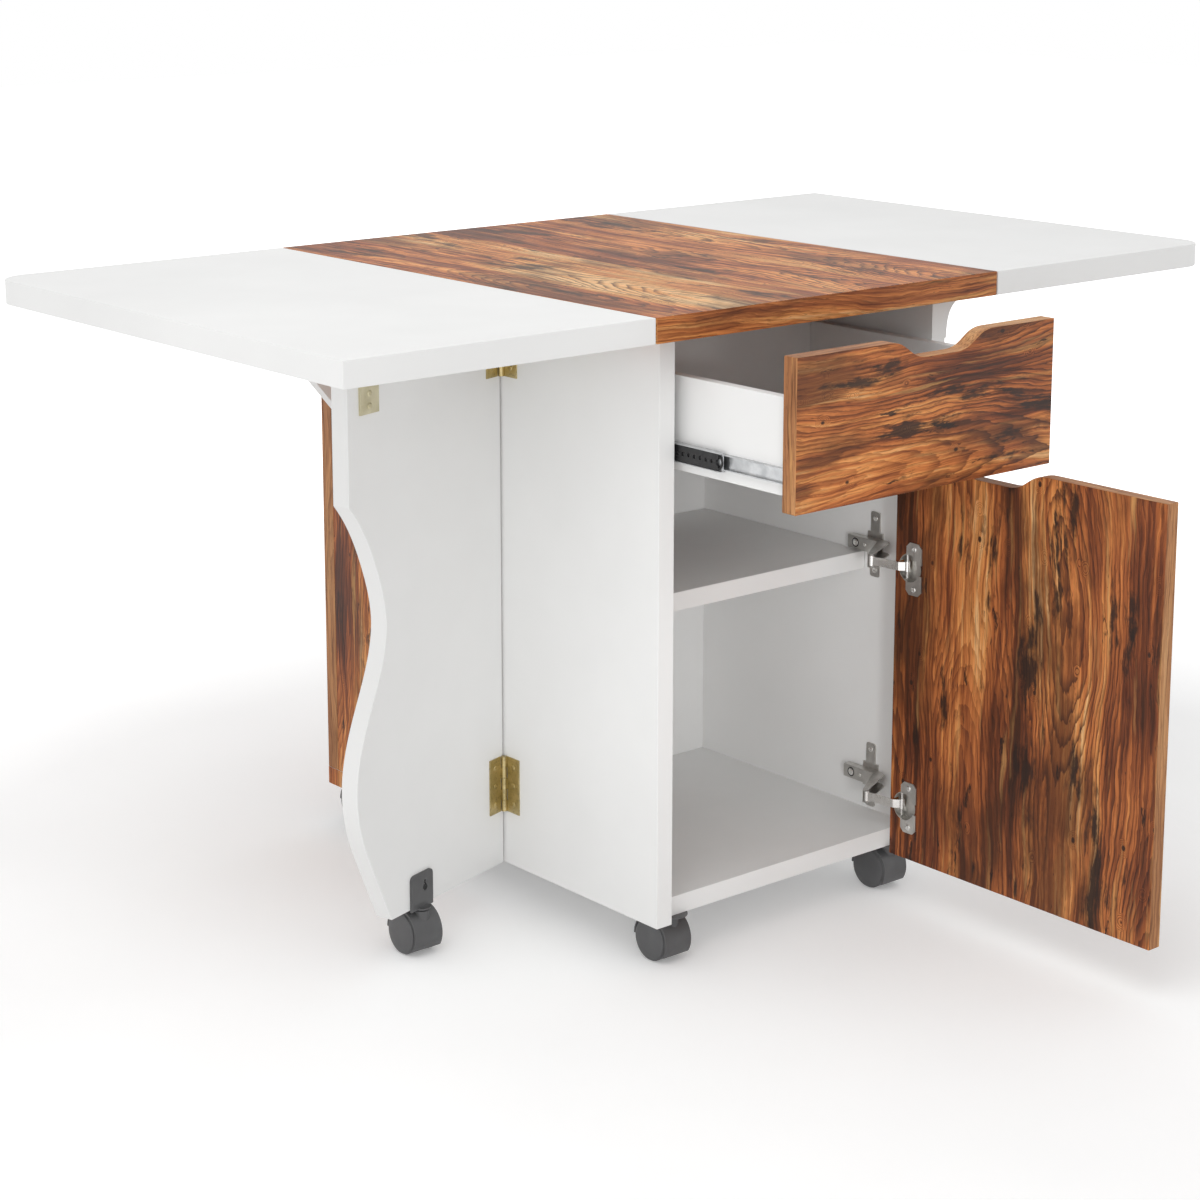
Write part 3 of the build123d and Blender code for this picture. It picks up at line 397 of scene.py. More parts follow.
def plated(name, dark, light, rough, brush, patina=0.0):
    """Plated metal with cloudy plating, brushed relief and dark patina where it is wanted."""
    metal = Finish(name)
    cloud = metal.noise(metal.place, 60, 5, 0.6)
    tint = metal.ramp(cloud, ((0.32, dark), (0.68, light)))
    scuff = metal.noise(metal.stretch(metal.place, brush), 1, 3)
    if patina:
        age = metal.levels(metal.noise(metal.place, 240, 6, 0.7), 0.5, 0.66, 0, patina)
        tint = metal.mix(age, tint, colour("2A2216"))
    metal.relief(scuff, 0.1, 0.0001)
    gloss = metal.levels(cloud, 0.3, 0.7, rough + 0.08, rough - 0.05)
    return metal.feed(Base_Color=tint, Roughness=gloss, Metallic=1.0)


nickel = plated("nickel_steel", "BDBBB7", "D6D4D0", 0.36, (500, 500, 3000))
bright_nickel = plated("bright_nickel", "DAD9D6", "F0EFEC", 0.24, (500, 500, 3000))
zinc = plated("zinc_steel", "B9BBBD", "D4D5D6", 0.36, (2500, 60, 2500))
antique_brass = plated("antique_brass", "B0A071", "D2C295", 0.42, (900, 900, 900), 0.4)
pale_brass = plated("pale_brass", "C3BB9C", "DDD6BB", 0.42, (900, 900, 900), 0.12)
print("metals", 5)

# %% [markdown]
# The casters and their plates are moulded nylon, dark grey with a spark-eroded texture. The
# slides' cages, stops and latches use a blacker grade.

# %% Moulded plastic


def moulded(name, dark, light, rough, grain):
    """Moulded plastic with a fine leathery mould texture."""
    plastic = Finish(name)
    cloud = plastic.noise(plastic.place, 35, 4)
    tint = plastic.ramp(cloud, ((0.3, dark), (0.7, light)))
    skin = plastic.noise(plastic.place, 2200, 3, 0.6)
    plastic.relief(skin, grain, 0.0002)
    gloss = plastic.levels(skin, 0.3, 0.7, rough - 0.06, rough + 0.06)
    return plastic.feed(Base_Color=tint, Roughness=gloss, Specular_IOR_Level=0.5)


caster_plastic = moulded("caster_plastic", "505051", "5A5A5B", 0.42, 0.16)
black_plastic = moulded("black_plastic", "131314", "1B1B1C", 0.45, 0.12)
print("plastics", 2)

# %% [markdown]
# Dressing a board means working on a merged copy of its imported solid: the copy's flat faces
# are joined again, and its edges are eased by under a millimetre, as edge banding is in a
# workshop. Without that the edges would catch no light. A weighted-normal pass then keeps the
# broad faces flat in shading.

# %% Helpers for dressing
bevel_steps = 2
bevel_angle = math.radians(38)
smooth_angle = math.radians(35)
flat_angle = math.radians(0.4)
same_point = 0.00001


def choose(*pieces):
    """Make these the only selected objects, with the first one active."""
    if bpy.context.object and bpy.context.object.mode != "OBJECT":
        bpy.ops.object.mode_set(mode="OBJECT")
    bpy.ops.object.select_all(action="DESELECT")
    for piece in pieces:
        piece.select_set(True)
    bpy.context.view_layer.objects.active = pieces[0]


def merged_copy(node, name):
    """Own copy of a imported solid, with its triangles joined into clean faces."""
    mesh = frame["nodes"][node].data.copy()
    mesh.materials.clear()
    piece = bpy.data.objects.new(name, mesh)
    bpy.context.scene.collection.objects.link(piece)
    choose(piece)
    bpy.ops.mesh.customdata_custom_splitnormals_clear()
    bpy.ops.object.mode_set(mode="EDIT")
    bpy.ops.mesh.select_all(action="SELECT")
    bpy.ops.mesh.remove_doubles(threshold=same_point)
    bpy.ops.mesh.dissolve_limited(angle_limit=flat_angle)
    bpy.ops.object.mode_set(mode="OBJECT")
    return piece


def apply_all(piece):
    """Apply each of the piece's modifiers in turn."""
    choose(piece)
    for modifier in list(piece.modifiers):
        bpy.ops.object.modifier_apply(modifier=modifier.name)


def ease_edges(piece, width):
    """Round the piece's sharp edges and keep its broad faces flat in shading."""
    bevel = piece.modifiers.new("eased", "BEVEL")
    bevel.width = width
    bevel.segments = bevel_steps
    bevel.limit_method = "ANGLE"
    bevel.angle_limit = bevel_angle
    apply_all(piece)
    bpy.ops.object.shade_smooth_by_angle(angle=smooth_angle)
    flat = piece.modifiers.new("flat faces", "WEIGHTED_NORMAL")
    flat.keep_sharp = True
    apply_all(piece)


def clad(piece, materials):
    """Give each face the finish for the axis that it faces: x, y or z."""
    order = list(dict.fromkeys(materials))
    for material in order:
        piece.data.materials.append(material)
    for face in piece.data.polygons:
        axis = max((X, Y, Z), key=lambda index: abs(face.normal[index]))
        face.material_index = order.index(materials[axis])


def dress(node, name, materials, width, shape=None):
    """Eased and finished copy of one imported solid, reshaped first if a shape is given."""
    piece = merged_copy(node, name)
    if shape:
        shape(piece)
    ease_edges(piece, width)
    clad(piece, materials)
    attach(piece, frame["nodes"][node]["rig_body"])
    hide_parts(node)
    return piece


print("dressing helpers ready")

# %% [markdown]
# The wooden boards come first. Each face takes the wood whose grain runs the right way, and
# the narrow edges get a banding strip with the grain along the edge. On the real table the
# banding of the drawer front and the door is paler than their faces.

# %% Wooden boards
board_edge = 0.0009
wooden_boards = {
    "table_top": (top_side_band, top_front_band, top_face),
    "drawer_front": (band_upright_y, drawer_face, band_along_x),
    "door": (door_face, band_upright_x, band_along_y),
    "side_panel_left_rear": (rear_side_face, band_upright_x, band_along_y),
    "rear_panel": (band_upright_y, rear_face, band_along_x),
}
for node, finishes in wooden_boards.items():
    dress(node, f"{node}_board", finishes, board_edge)
print("wooden boards", len(wooden_boards))

# %% [markdown]
# The white boards share one laminate. Their edges are eased a little more softly than the
# wooden ones, because white banding is thicker. The small brackets and corbels are treated alike.

# %% White boards
white_edge = 0.001
all_white = (white_laminate,) * 3
white_boards = (
    "leaf_left", "leaf_right", "side_panel_left_front", "side_panel_right",
    "divider_panel", "shelf", "top_corbels", "drawer_side_left", "drawer_side_right",
    "drawer_back", "drawer_bottom", "gate_left_leg", "gate_right_leg",
    "leaf_bracket_left", "leaf_bracket_right",
)
for node in white_boards:
    dress(node, f"{node}_board", all_white, white_edge)
print("white boards", len(white_boards))

# %% [markdown]
# The bottom board is white too, but the two wooden walls at the rear stand on it. Its edge is
# banded with their wood there, so that the wood runs down to the underside of the cabinet. All
# patterns live in the same coordinates, so the banding carries on the grain of the wall above.

# %% Bottom board with a banded edge
bottom = dress("bottom_board", "bottom_board_board", all_white, white_edge)
wall_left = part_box("side_panel_left_rear")[0][0]
wall_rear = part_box("rear_panel")[1][1]
facing = 0.7
for finish in (rear_side_face, rear_face):
    bottom.data.materials.append(finish)
for face in bottom.data.polygons:
    if face.normal.x < -facing and face.center.x < wall_left + white_edge:
        face.material_index = 1
    if face.normal.y > facing and face.center.y > wall_rear - white_edge:
        face.material_index = 2
print("banded faces", sum(face.material_index > 0 for face in bottom.data.polygons))

# %% [markdown]
# Sheet-metal fittings are stamped, so their rims are only slightly rounded. A quarter of a
# millimetre is enough to draw a bright line along each rim. Moulded caster parts are rounder.

# %% Metal and plastic fittings
steel_edge = 0.00025
hinge_edge = 0.0002
rail_edge = 0.00015
angle_edge = 0.0003
plastic_edge = 0.0005
fittings = {
    "shelf_pins": (nickel, "nickel_steel", steel_edge),
    "slide_outer_rails": (zinc, "zinc_steel", rail_edge),
    "slide_middle_rails": (zinc, "zinc_steel", rail_edge),
    "slide_inner_rails": (zinc, "zinc_steel", rail_edge),
    "door_hinge_plates": (nickel, "nickel_steel", steel_edge),
    "door_hinge_arms": (nickel, "nickel_steel", steel_edge),
    "door_hinge_links": (bright_nickel, "nickel_steel", hinge_edge),
    "door_hinge_cups": (nickel, "nickel_steel", hinge_edge),
    "gate_hinge_cabinet_leaves": (antique_brass, "antique_brass", hinge_edge),
    "leaf_hinge_top_flaps": (antique_brass, "antique_brass", hinge_edge),
    "bracket_hinge_cabinet_leaves": (antique_brass, "antique_brass", hinge_edge),
    "leaf_left_hinge_flaps": (antique_brass, "antique_brass", hinge_edge),
    "leaf_right_hinge_flaps": (antique_brass, "antique_brass", hinge_edge),
    "bracket_left_hinge_leaf": (antique_brass, "antique_brass", hinge_edge),
    "bracket_right_hinge_leaf": (antique_brass, "antique_brass", hinge_edge),
    "caster_mounts": (caster_plastic, "caster_plastic", plastic_edge),
}
for side in ("left", "right"):
    fittings[f"gate_{side}_hinge_leaves"] = (antique_brass, "antique_brass", hinge_edge)
    fittings[f"gate_{side}_angle_bracket"] = (pale_brass, "pale_brass", angle_edge)
    fittings[f"gate_{side}_caster_plate"] = (caster_plastic, "caster_plastic", plastic_edge)
casters = ("front_left", "front_right", "rear_left", "rear_right", "gate_left", "gate_right")
for caster in casters:
    if f"caster_{caster}_brake_lever" in frame["nodes"]:
        fittings[f"caster_{caster}_brake_lever"] = (caster_plastic, "caster_plastic", plastic_edge)
for node, (finish, slot, width) in fittings.items():
    dress(node, f"{node}_dressed", (finish,) * 3, width)
print("fittings", len(fittings))

# %% [markdown]
# A caster's hood covers the inner half of each wheel, and the domed caps stand proud of it. So
# both rims of the hood are selected by their place and moved inwards before they are eased.

# %% Caster housings
hood_setback = 0.0035
rim_reach = 0.015


def set_back_rims(piece):
    """Move both rims of a hood towards its middle."""
    middle = sum(corner[0] for corner in piece.bound_box) / 8
    for side in (-1, 1):
        choose(piece)
        bpy.ops.object.mode_set(mode="EDIT")
        bpy.ops.mesh.select_mode(type="VERT")
        bpy.ops.mesh.select_all(action="DESELECT")
        bpy.ops.object.mode_set(mode="OBJECT")
        for vertex in piece.data.vertices:
            vertex.select = side * (vertex.co.x - middle) > rim_reach
        bpy.ops.object.mode_set(mode="EDIT")
        bpy.ops.transform.translate(value=(-side * hood_setback, 0, 0))
        bpy.ops.object.mode_set(mode="OBJECT")


for caster in casters:
    node = f"caster_{caster}_housing"
    dress(node, f"{node}_dressed", (caster_plastic,) * 3, plastic_edge, set_back_rims)
print("caster housings", len(casters), "rims set back", hood_setback)

# %% [markdown]
# A twin-wheel caster has two wheels on one axle, each with a narrow tread and a domed cap, and
# a groove between tread and cap that reads as a dark line. All of it is one turned shape. Its
# cross-section is written down for one wheel and mirrored to the other, drawn by extruding a
# single vertex, and spun once round the axle. The cap is a flat quarter ellipse.

# %% Caster wheels
cap_rim = (0.0194, 0.0240)
cap_face = 0.0220
cap_steps = 9
wheel_steps = 56
tread = (
    (0.0092, 0.0030), (0.0092, 0.0238), (0.0104, 0.0250), (0.0176, 0.0250), (0.0182, 0.0243),
    (0.0184, 0.0230), (0.0191, 0.0230), (0.0192, 0.0238),
)
cap_turns = [math.radians(90 * step / cap_steps) for step in range(cap_steps + 1)]
cap = [(cap_rim[0] + (cap_face - cap_rim[0]) * math.sin(t), cap_rim[1] * math.cos(t)) for t in cap_turns]
half_section = list(tread) + cap
section = [(-offset, radius) for offset, radius in reversed(half_section)] + half_section


def turned(name, points, steps):
    """Closed shape turned round the x axis from its points, each an offset and a radius."""
    bpy.ops.object.select_all(action="DESELECT")
    bpy.ops.mesh.primitive_plane_add(size=0.001, location=(points[0][0], points[0][1], 0))
    shape = bpy.context.object
    shape.name = name
    bpy.ops.object.transform_apply(location=True, rotation=True, scale=True)
    bpy.ops.object.mode_set(mode="EDIT")
    bpy.ops.mesh.select_all(action="SELECT")
    bpy.ops.mesh.merge(type="CENTER")
    for last, point in zip(points, points[1:]):
        move = (point[0] - last[0], point[1] - last[1], 0)
        bpy.ops.mesh.extrude_region_move(TRANSFORM_OT_translate={"value": move})
    bpy.ops.mesh.select_all(action="SELECT")
    bpy.ops.mesh.spin(steps=steps, angle=2 * math.pi, center=(0, 0, 0), axis=(1, 0, 0))
    bpy.ops.mesh.select_all(action="SELECT")
    bpy.ops.mesh.remove_doubles(threshold=same_point)
    bpy.ops.mesh.normals_make_consistent(inside=False)
    bpy.ops.object.mode_set(mode="OBJECT")
    bpy.ops.object.shade_smooth_by_angle(angle=math.radians(32))
    return shape


wheel_pair = turned("wheel_pair", section, wheel_steps)
for caster in casters:
    node = f"caster_{caster}_wheels"
    low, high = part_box(node)
    mesh = wheel_pair.data.copy()
    mesh.transform(Matrix.Translation((Vector(low) + Vector(high)) / 2))
    mesh.materials.append(caster_plastic)
    pair = bpy.data.objects.new(f"wheels_{caster}", mesh)
    bpy.context.scene.collection.objects.link(pair)
    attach(pair, frame["nodes"][node]["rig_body"])
    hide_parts(node)
bpy.data.objects.remove(wheel_pair)
print("wheel pairs", len(casters), "points in the section", len(section))

# %% [markdown]
# Every hinge leaf and plate is held by small raised-head screws with a cross recess.
# One head is modelled: a thin disc whose top face is drawn up and narrowed into a low dome,
# with the recess cut by two crossed bars. It is then copied to each screw hole.

# %% One screw head
head_radius = 0.0034
head_rim = 0.0004
head_rise = 0.0005
recess_reach = 0.0042
recess_width = 0.0009
dome_steps = ((0.6, 0.86), (0.4, 0.7))


def screw_head(radius, rise, recess):
    """Raised screw head standing on the plane z = 0."""
    rim = Vector((0, 0, head_rim / 2))
    bpy.ops.object.select_all(action="DESELECT")
    bpy.ops.mesh.primitive_cylinder_add(vertices=28, radius=radius, depth=head_rim, location=rim)
    head = bpy.context.object
    bpy.ops.object.transform_apply(location=True, rotation=True, scale=True)
    for share, narrowing in dome_steps:
        bpy.ops.object.mode_set(mode="EDIT")
        bpy.ops.mesh.select_all(action="DESELECT")
        bpy.ops.object.mode_set(mode="OBJECT")
        top = max(face.center.z for face in head.data.polygons if face.normal.z > 0.9)
        for face in head.data.polygons:
            face.select = face.normal.z > 0.9 and face.center.z > top - same_point
        bpy.ops.object.mode_set(mode="EDIT")
        bpy.ops.mesh.extrude_region_move(TRANSFORM_OT_translate={"value": (0, 0, rise * share)})
        bpy.ops.transform.resize(value=(narrowing, narrowing, 1), center_override=(0, 0, 0))
        bpy.ops.object.mode_set(mode="OBJECT")
    bars = []
    for size in ((recess, recess_width, 2 * rise), (recess_width, recess, 2 * rise)):
        bpy.ops.object.select_all(action="DESELECT")
        bpy.ops.mesh.primitive_cube_add(size=1, location=(0, 0, head_rim + rise * 1.3))
        bar = bpy.context.object
        bar.scale = size
        bpy.ops.object.transform_apply(location=True, rotation=True, scale=True)
        cut = head.modifiers.new("recess", "BOOLEAN")
        cut.operation = "DIFFERENCE"
        cut.object = bar
        bars.append(bar)
    apply_all(head)
    for bar in bars:
        bpy.data.objects.remove(bar)
    choose(head)
    bpy.ops.object.shade_smooth_by_angle(angle=smooth_angle)
    return head


def copies(model, name, body, slot, finish, places):
    """Copies of a model, each moved to a point and turned from +z to a direction, in one piece."""
    made = []
    for point, direction in places:
        turn = Vector((0, 0, 1)).rotation_difference(Vector(direction)).to_matrix().to_4x4()
        mesh = model.data.copy()
        mesh.materials.clear()
        mesh.transform(Matrix.Translation(Vector(point)) @ turn)
        copy = bpy.data.objects.new(name, mesh)
        bpy.context.scene.collection.objects.link(copy)
        made.append(copy)
    choose(*made)
    if len(made) > 1:
        bpy.ops.object.join()
    piece = bpy.context.view_layer.objects.active
    piece.name = name
    piece.data.materials.append(finish)
    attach(piece, body)


small_head = screw_head(head_radius, head_rise, recess_reach)
print("screw head faces", len(small_head.data.polygons))

# %% [markdown]
# The screws' places follow from the hinges: each gate and bracket hangs on an upright pin
# beside the cabinet, and the holes lie at a fixed reach from that pin. The right side of the
# table is the left side turned by half a turn about the cabinet's middle, so each left-hand
# place gives its right-hand twin.

# %% Screw places on gates and brackets
middle_y = 0.1855
gate_pin = Vector((-0.2235, 0.1340, 0))
bracket_pin = Vector((-0.2235, 0.4320, 0))
leaf_depth = 0.0019
gate_rows = [height + offset for height in (0.1555, 0.674) for offset in (-0.02233, 0, 0.02233)]
bracket_rows = (0.615, 0.645)
gate_hole_reach = 0.01445
bracket_hole_reach = 0.01295
rest_turn = 17


def half_turn(point, direction):
    """The same place on the other side of the table."""
    moved = Vector((-point[0], 2 * middle_y - point[1], point[2]))
    return moved, Vector((-direction[0], -direction[1], direction[2]))


def swung(place, pin, degrees):
    """A place turned about an upright pin."""
    turn = Matrix.Rotation(math.radians(degrees), 4, "Z")
    point, direction = place
    return pin + turn @ (Vector(point) - pin), turn @ Vector(direction)


def pin_places(pin, reach, rows):
    """Hole places on the fixed leaf, and on the moving leaf while it stands square to the cabinet."""
    fixed = [(Vector((pin.x + leaf_depth, pin.y - reach, z)), Vector((-1, 0, 0))) for z in rows]
    moving = [(Vector((pin.x - reach, pin.y + leaf_depth, z)), Vector((0, -1, 0))) for z in rows]
    return fixed, moving


gate_fixed, gate_moving = pin_places(gate_pin, gate_hole_reach, gate_rows)
bracket_fixed, bracket_moving = pin_places(bracket_pin, bracket_hole_reach, bracket_rows)
fixed = gate_fixed + bracket_fixed
fixed += [half_turn(*place) for place in fixed]
angle_places = [(Vector((-0.4635, 0.1350, z)), Vector((0, -1, 0))) for z in (0.6455, 0.6591)]
brass = ("antique_brass", antique_brass)
copies(small_head, "screws_side_hinges", "cabinet", *brass, fixed)
for side, gate_turn, bracket_turn in (("left", rest_turn, 0), ("right", 90, 90)):
    gate = [swung(place, gate_pin, gate_turn) for place in gate_moving]
    angle = [swung(place, gate_pin, gate_turn) for place in angle_places]
    bracket = [swung(place, bracket_pin, bracket_turn) for place in bracket_moving]
    if side == "right":
        gate, angle, bracket = ([half_turn(*place) for place in places] for places in (gate, angle, bracket))
    copies(small_head, f"screws_gate_{side}", f"{side}_gate", *brass, gate)
    copies(small_head, f"screws_angle_{side}", f"{side}_gate", "pale_brass", pale_brass, angle)
    copies(small_head, f"screws_bracket_{side}", f"{side}_bracket", *brass, bracket)
print("side screws", len(fixed) + 2 * (len(gate_moving) + len(angle_places) + len(bracket_moving)))

# %% [markdown]
# Under the seams between the top and its leaves, three butt hinges on each side carry two
# screws in each flap. Their heads point down, so they only show when the table is looked at
# from below, but a table is turned over more often than one thinks.

# %% Screws under the leaves
seam_x = 0.26075
flap_low = 0.7204
flap_rows = [row + offset for row in (-0.0045, 0.2155, 0.4055) for offset in (-0.015, 0.015)]
down = Vector((0, 0, -1))
top_holes = [(Vector((-seam_x + gate_hole_reach, y, flap_low)), down) for y in flap_rows]
leaf_holes = [(Vector((-seam_x - gate_hole_reach, y, flap_low)), down) for y in flap_rows]
both = top_holes + [half_turn(*place) for place in top_holes]
copies(small_head, "screws_top_flaps", "cabinet", *brass, both)
copies(small_head, "screws_left_flaps", "left_leaf", *brass, leaf_holes)
copies(small_head, "screws_right_flaps", "right_leaf", *brass, [half_turn(*place) for place in leaf_holes])
print("screws under the leaves", 2 * len(both))

# %% [markdown]
# Each concealed door hinge is screwed on at four points and has two adjusters on its arm:
# a wide one that clamps the depth, and a narrow one that sets the gap. They are the same
# raised head in other sizes. Each wide one sits on a dark ring of painted shade, which stands
# for the shadow in the slot round the screw.

# %% Door hinge screws
hinge_heights = (0.123, 0.412)
plate_place = (0.1960, -0.0525)
cup_place = (0.1438, -0.1655)
inward = Vector((-1, 0, 0))
steel = ("nickel_steel", bright_nickel)
plate_holes = [(Vector((*plate_place, z + o)), inward) for z in hinge_heights for o in (-0.032, 0.032)]
cup_holes = [(Vector((*cup_place, z + o)), inward) for z in hinge_heights for o in (-0.024, 0.024)]
copies(small_head, "screws_hinge_plates", "cabinet", *steel, plate_holes)
copies(small_head, "screws_hinge_cups", "door_panel", *steel, cup_holes)

wide_head = screw_head(radius=0.0042, rise=0.0006, recess=0.0052)
narrow_head = screw_head(radius=0.0021, rise=0.0004, recess=0.0028)
wide_places = [(Vector((0.1860, -0.0295, z)), inward) for z in hinge_heights]
narrow_places = [(Vector((0.1854, -0.0455, z)), inward) for z in hinge_heights]
copies(wide_head, "hinge_depth_adjusters", "cabinet", *steel, wide_places)
copies(narrow_head, "hinge_gap_adjusters", "cabinet", *steel, narrow_places)


def rings(name, radius, tube, centres, direction, body, finish, slot):
    """Flat rings lying round screws, here dark rings of painted shade in the slots."""
    bpy.ops.object.select_all(action="DESELECT")
    bpy.ops.mesh.primitive_torus_add(
        major_radius=radius, minor_radius=tube, major_segments=36, minor_segments=8, location=(0, 0, 0)
    )
    loop = bpy.context.object
    bpy.ops.object.mode_set(mode="EDIT")
    bpy.ops.mesh.select_all(action="SELECT")
    bpy.ops.transform.resize(value=(1, 1, 0.5), center_override=(0, 0, 0))
    bpy.ops.object.mode_set(mode="OBJECT")
    bpy.ops.object.shade_smooth()
    copies(loop, name, body, slot, finish, [(point, direction) for point in centres])
    bpy.data.objects.remove(loop)


# A dark ring of painted shade lies round each wide adjuster, for the shadow in its slot.
shade_ring_radius = 0.0050
shade_ring_tube = 0.0007
centres = [place[0] for place in wide_places]
black = (black_plastic, "caster_plastic")
rings("hinge_adjuster_slot_shade", shade_ring_radius, shade_ring_tube, centres, inward, "cabinet", *black)
screw_places = plate_holes + cup_holes + wide_places + narrow_places
print("door hinge screws", len(screw_places))

# %% [markdown]
# Keyhole plates hang the gate's casters: a dark screw shows in each keyhole.

# %% Keyhole screws
key_place = (Vector((-0.3785, 0.1355, 0.0780)), Vector((0, -1, 0)))
for side, turn in (("left", rest_turn), ("right", 90)):
    place = swung(key_place, gate_pin, turn)
    if side == "right":
        place = half_turn(*place)
    copies(small_head, f"screw_keyhole_{side}", f"{side}_gate", "caster_plastic", black_plastic, [place])
for model in (small_head, wide_head, narrow_head):
    bpy.data.objects.remove(model)
print("keyhole screws", 2)

# %% [markdown]
# In each telescopic slide the balls run in a cage, a thin strip with a row of round windows,
# and a moulded stop closes the middle rail's front end. The cage starts as a block, its
# windows are cut out, and its rims are eased. The stop is a block with a round notch.

# %% Ball cages and stops
slide_wall = 0.198
slide_height = 0.592
cage_x = (0.0034, 0.0054)
cage_y = (-0.1944, -0.1240)
cage_half = 0.0088
window_radius = 0.0021
window_pitch = 0.0092
cage_edge = 0.0002
stop_x = (0.0024, 0.0058)
stop_y = (cage_y[0] - 0.0062, cage_y[0] - 0.0004)
notch_radius = 0.0034
drill_reach = 0.01


def block(name, low, high):
    """Block between two corners, ready to be shaped."""
    low, high = Vector(low), Vector(high)
    bpy.ops.object.select_all(action="DESELECT")
    bpy.ops.mesh.primitive_cube_add(size=1, location=(low + high) / 2)
    piece = bpy.context.object
    piece.name = name
    piece.scale = high - low
    bpy.ops.object.transform_apply(location=True, rotation=True, scale=True)
    return piece


def drill(piece, centre, radius):
    """Round hole through a piece along x."""
    bpy.ops.object.select_all(action="DESELECT")
    bpy.ops.mesh.primitive_cylinder_add(
        vertices=20, radius=radius, depth=drill_reach, location=centre, rotation=(0, math.radians(90), 0)
    )
    tool = bpy.context.object
    cut = piece.modifiers.new("window", "BOOLEAN")
    cut.operation = "DIFFERENCE"
    cut.object = tool
    apply_all(piece)
    bpy.data.objects.remove(tool)


def settle(piece, finish, body, width):
    """Ease, finish and hang a new piece."""
    ease_edges(piece, width)
    piece.data.materials.clear()
    piece.data.materials.append(finish)
    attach(piece, body)


def strip(name, side, depths, reach):
    """Block in a slide, between two depths from the side panel and two places along the slide."""
    sign = 1 if side == "left" else -1
    low_x, high_x = sorted(sign * (depth - slide_wall) for depth in depths)
    low_z, high_z = slide_height - cage_half, slide_height + cage_half
    piece = block(f"{name}_{side}", (low_x, reach[0], low_z), (high_x, reach[1], high_z))
    return piece, (low_x + high_x) / 2


windows = int((cage_y[1] - cage_y[0]) / window_pitch)
for side in ("left", "right"):
    cage, x = strip("slide_cage", side, cage_x, cage_y)
    for index in range(windows):
        drill(cage, (x, cage_y[0] + (index + 0.5) * window_pitch, slide_height), window_radius)
    settle(cage, black_plastic, "middle_rails", cage_edge)
    stop, x = strip("slide_stop", side, stop_x, stop_y)
    drill(stop, (x, stop_y[0], slide_height), notch_radius)
    settle(stop, black_plastic, "middle_rails", plastic_edge)
print("windows in each cage", windows)

# %% [markdown]
# At the middle rail's front end a black latch curls out of the stop and snaps behind the inner
# rail when the drawer is shut. It is a flat strip bent into a half ring: a small square face is
# spun by half a turn, and the ring is pressed a little flatter. It sits back far enough to stay
# clear of the drawer front when the drawer is shut.

# %% Slide latches
latch_radius = 0.0060
latch_width = 0.0024
latch_thickness = 0.0016
latch_flatness = 0.75
latch_inset = 0.0036
latch_depth = 0.0043
latch_edge = 0.0003


def latch(name, x, front):
    """Half ring open to the back, standing on the middle rail's front end."""
    bpy.ops.object.select_all(action="DESELECT")
    start = (x, front, slide_height - latch_radius)
    bpy.ops.mesh.primitive_plane_add(size=1, location=start, rotation=(math.radians(90), 0, 0))
    hook = bpy.context.object
    hook.name = name
    hook.scale = (latch_width, latch_thickness, 1)
    bpy.ops.object.transform_apply(location=True, rotation=True, scale=True)
    centre = (x, front, slide_height)
    bpy.ops.object.mode_set(mode="EDIT")
    bpy.ops.mesh.select_all(action="SELECT")
    bpy.ops.mesh.spin(steps=14, angle=math.pi, center=centre, axis=(1, 0, 0))
    bpy.ops.mesh.select_all(action="SELECT")
    bpy.ops.mesh.remove_doubles(threshold=same_point)
    bpy.ops.mesh.fill_holes(sides=4)
    bpy.ops.mesh.normals_make_consistent(inside=False)
    bpy.ops.transform.resize(value=(1, latch_flatness, 1), center_override=centre)
    bpy.ops.object.mode_set(mode="OBJECT")
    return hook


rail_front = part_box("slide_middle_rails")[0][1]
latch_front = rail_front + latch_inset
for side, sign in (("left", 1), ("right", -1)):
    hook = latch(f"slide_latch_{side}", sign * (latch_depth - slide_wall), latch_front)
    settle(hook, black_plastic, "middle_rails", latch_edge)
    print("latch", side, "faces", len(hook.data.polygons))

# %% [markdown]
# The table stands on a white studio floor that fades into a white background. The floor glows
# a little, and further away fully, but only to the camera and to reflections. So the lamps can
# stay at a plain level, at which a colour renders about as it is written, and the shadow stays.

# %% Floor
floor_lift = 0.18
fade = (1.0, 2.6)
bpy.ops.object.select_all(action="DESELECT")
bpy.ops.mesh.primitive_plane_add(size=24, location=(0, 0, 0))
floor = bpy.context.object
floor.name = "studio_floor"
ground = Finish("studio_floor")
paths = ground.add("ShaderNodeLightPath").outputs
seen = ground.sum(ground.sum(paths["Is Camera Ray"], paths["Is Glossy Ray"]), paths["Is Transmission Ray"])
speckle = ground.ramp(ground.noise(ground.place, 3, 3), ((0.3, "F3F3F3"), (0.7, "F7F7F7")))
ground.feed(Base_Color=speckle, Roughness=0.9, Emission_Color=(1, 1, 1, 1))
reach = ground.add("ShaderNodeVectorMath", {0: ground.place}, operation="LENGTH").outputs["Value"]
lift = ground.levels(reach, *fade, floor_lift, 1.0)
ground.feed(Emission_Strength=ground.sum(seen, lift, "MULTIPLY"), Specular_IOR_Level=0.1)
floor.data.materials.append(ground.material)
print("floor fades from", fade[0], "to", fade[1])

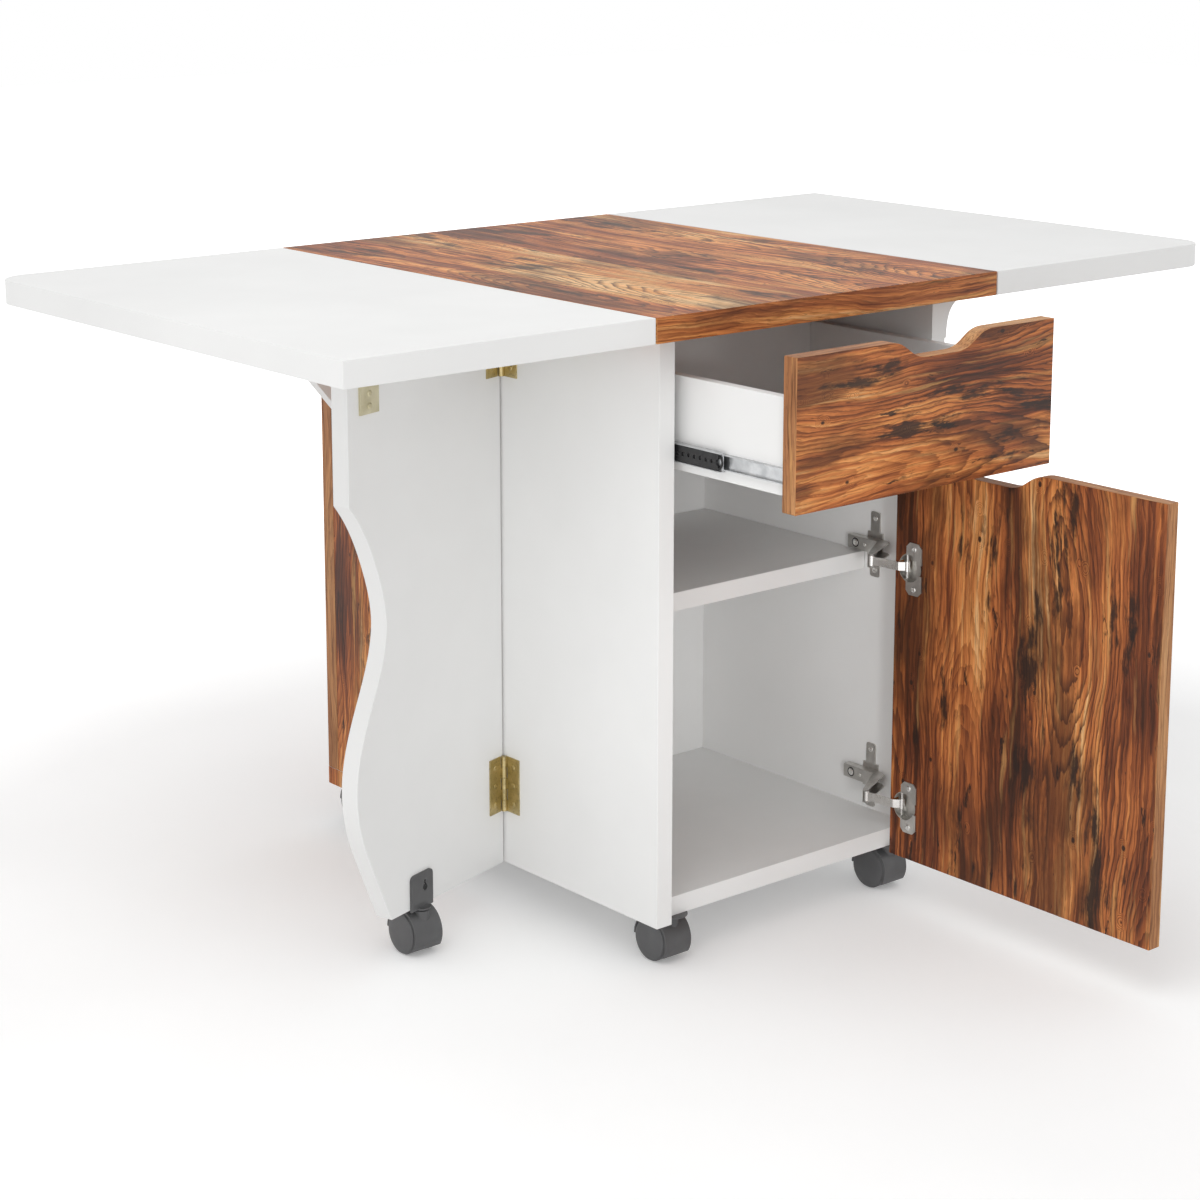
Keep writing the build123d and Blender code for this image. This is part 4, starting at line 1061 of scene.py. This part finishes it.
# %% [markdown]
# The world is the white room round the table. It is pure white to the camera and to
# reflections, and a plain grey to everything that it lights, by the same three kinds of ray.

# %% Background
room_level = 0.71
world = bpy.data.worlds.new("studio")
bpy.context.scene.world = world
world.use_nodes = True
tree = world.node_tree
back = tree.nodes["Background"]
back.inputs["Color"].default_value = (1, 1, 1, 1)
light_path = tree.nodes.new("ShaderNodeLightPath")
first = tree.nodes.new("ShaderNodeMath")
second = tree.nodes.new("ShaderNodeMath")
level = tree.nodes.new("ShaderNodeMapRange")
tree.links.new(light_path.outputs["Is Camera Ray"], first.inputs[0])
tree.links.new(light_path.outputs["Is Glossy Ray"], first.inputs[1])
tree.links.new(first.outputs[0], second.inputs[0])
tree.links.new(light_path.outputs["Is Transmission Ray"], second.inputs[1])
tree.links.new(second.outputs[0], level.inputs["Value"])
level.inputs["To Min"].default_value = room_level
level.inputs["To Max"].default_value = 1.0
tree.links.new(level.outputs[0], back.inputs["Strength"])
print("room level", room_level)

# %% [markdown]
# The white room gives most of the light, and three lamps add direction. A large soft key above
# the left leaf lays the soft shadow on the floor. A low fill beside the camera brightens the
# upright white boards. A narrow spot with a soft rim reaches into the open cabinet, where a
# real studio would put a reflector.

# %% Lamps


def lamp(name, kind, place, target, power, **settings):
    """Lamp at a place, aimed at a point."""
    data = bpy.data.lights.new(name, kind)
    data.energy = power
    for key, value in settings.items():
        setattr(data, key, value)
    made = bpy.data.objects.new(name, data)
    made.location = place
    made.rotation_euler = (Vector(target) - Vector(place)).to_track_quat("-Z", "Y").to_euler()
    bpy.context.scene.collection.objects.link(made)


table_middle = (0, 0, 0.4)
cabinet_inside = (0.06, 0, 0.3)
rim = {"spot_size": math.radians(15), "spot_blend": 0.9, "shadow_soft_size": 0.2}
lamp("key", "AREA", (-1.6, -0.6, 3.4), table_middle, 32, size=2.6)
lamp("fill", "AREA", (-3.0, -2.2, 1.05), table_middle, 17, size=2.2)
lamp("inside", "SPOT", (-1.7, -2.6, 0.8), cabinet_inside, 90, **rim)
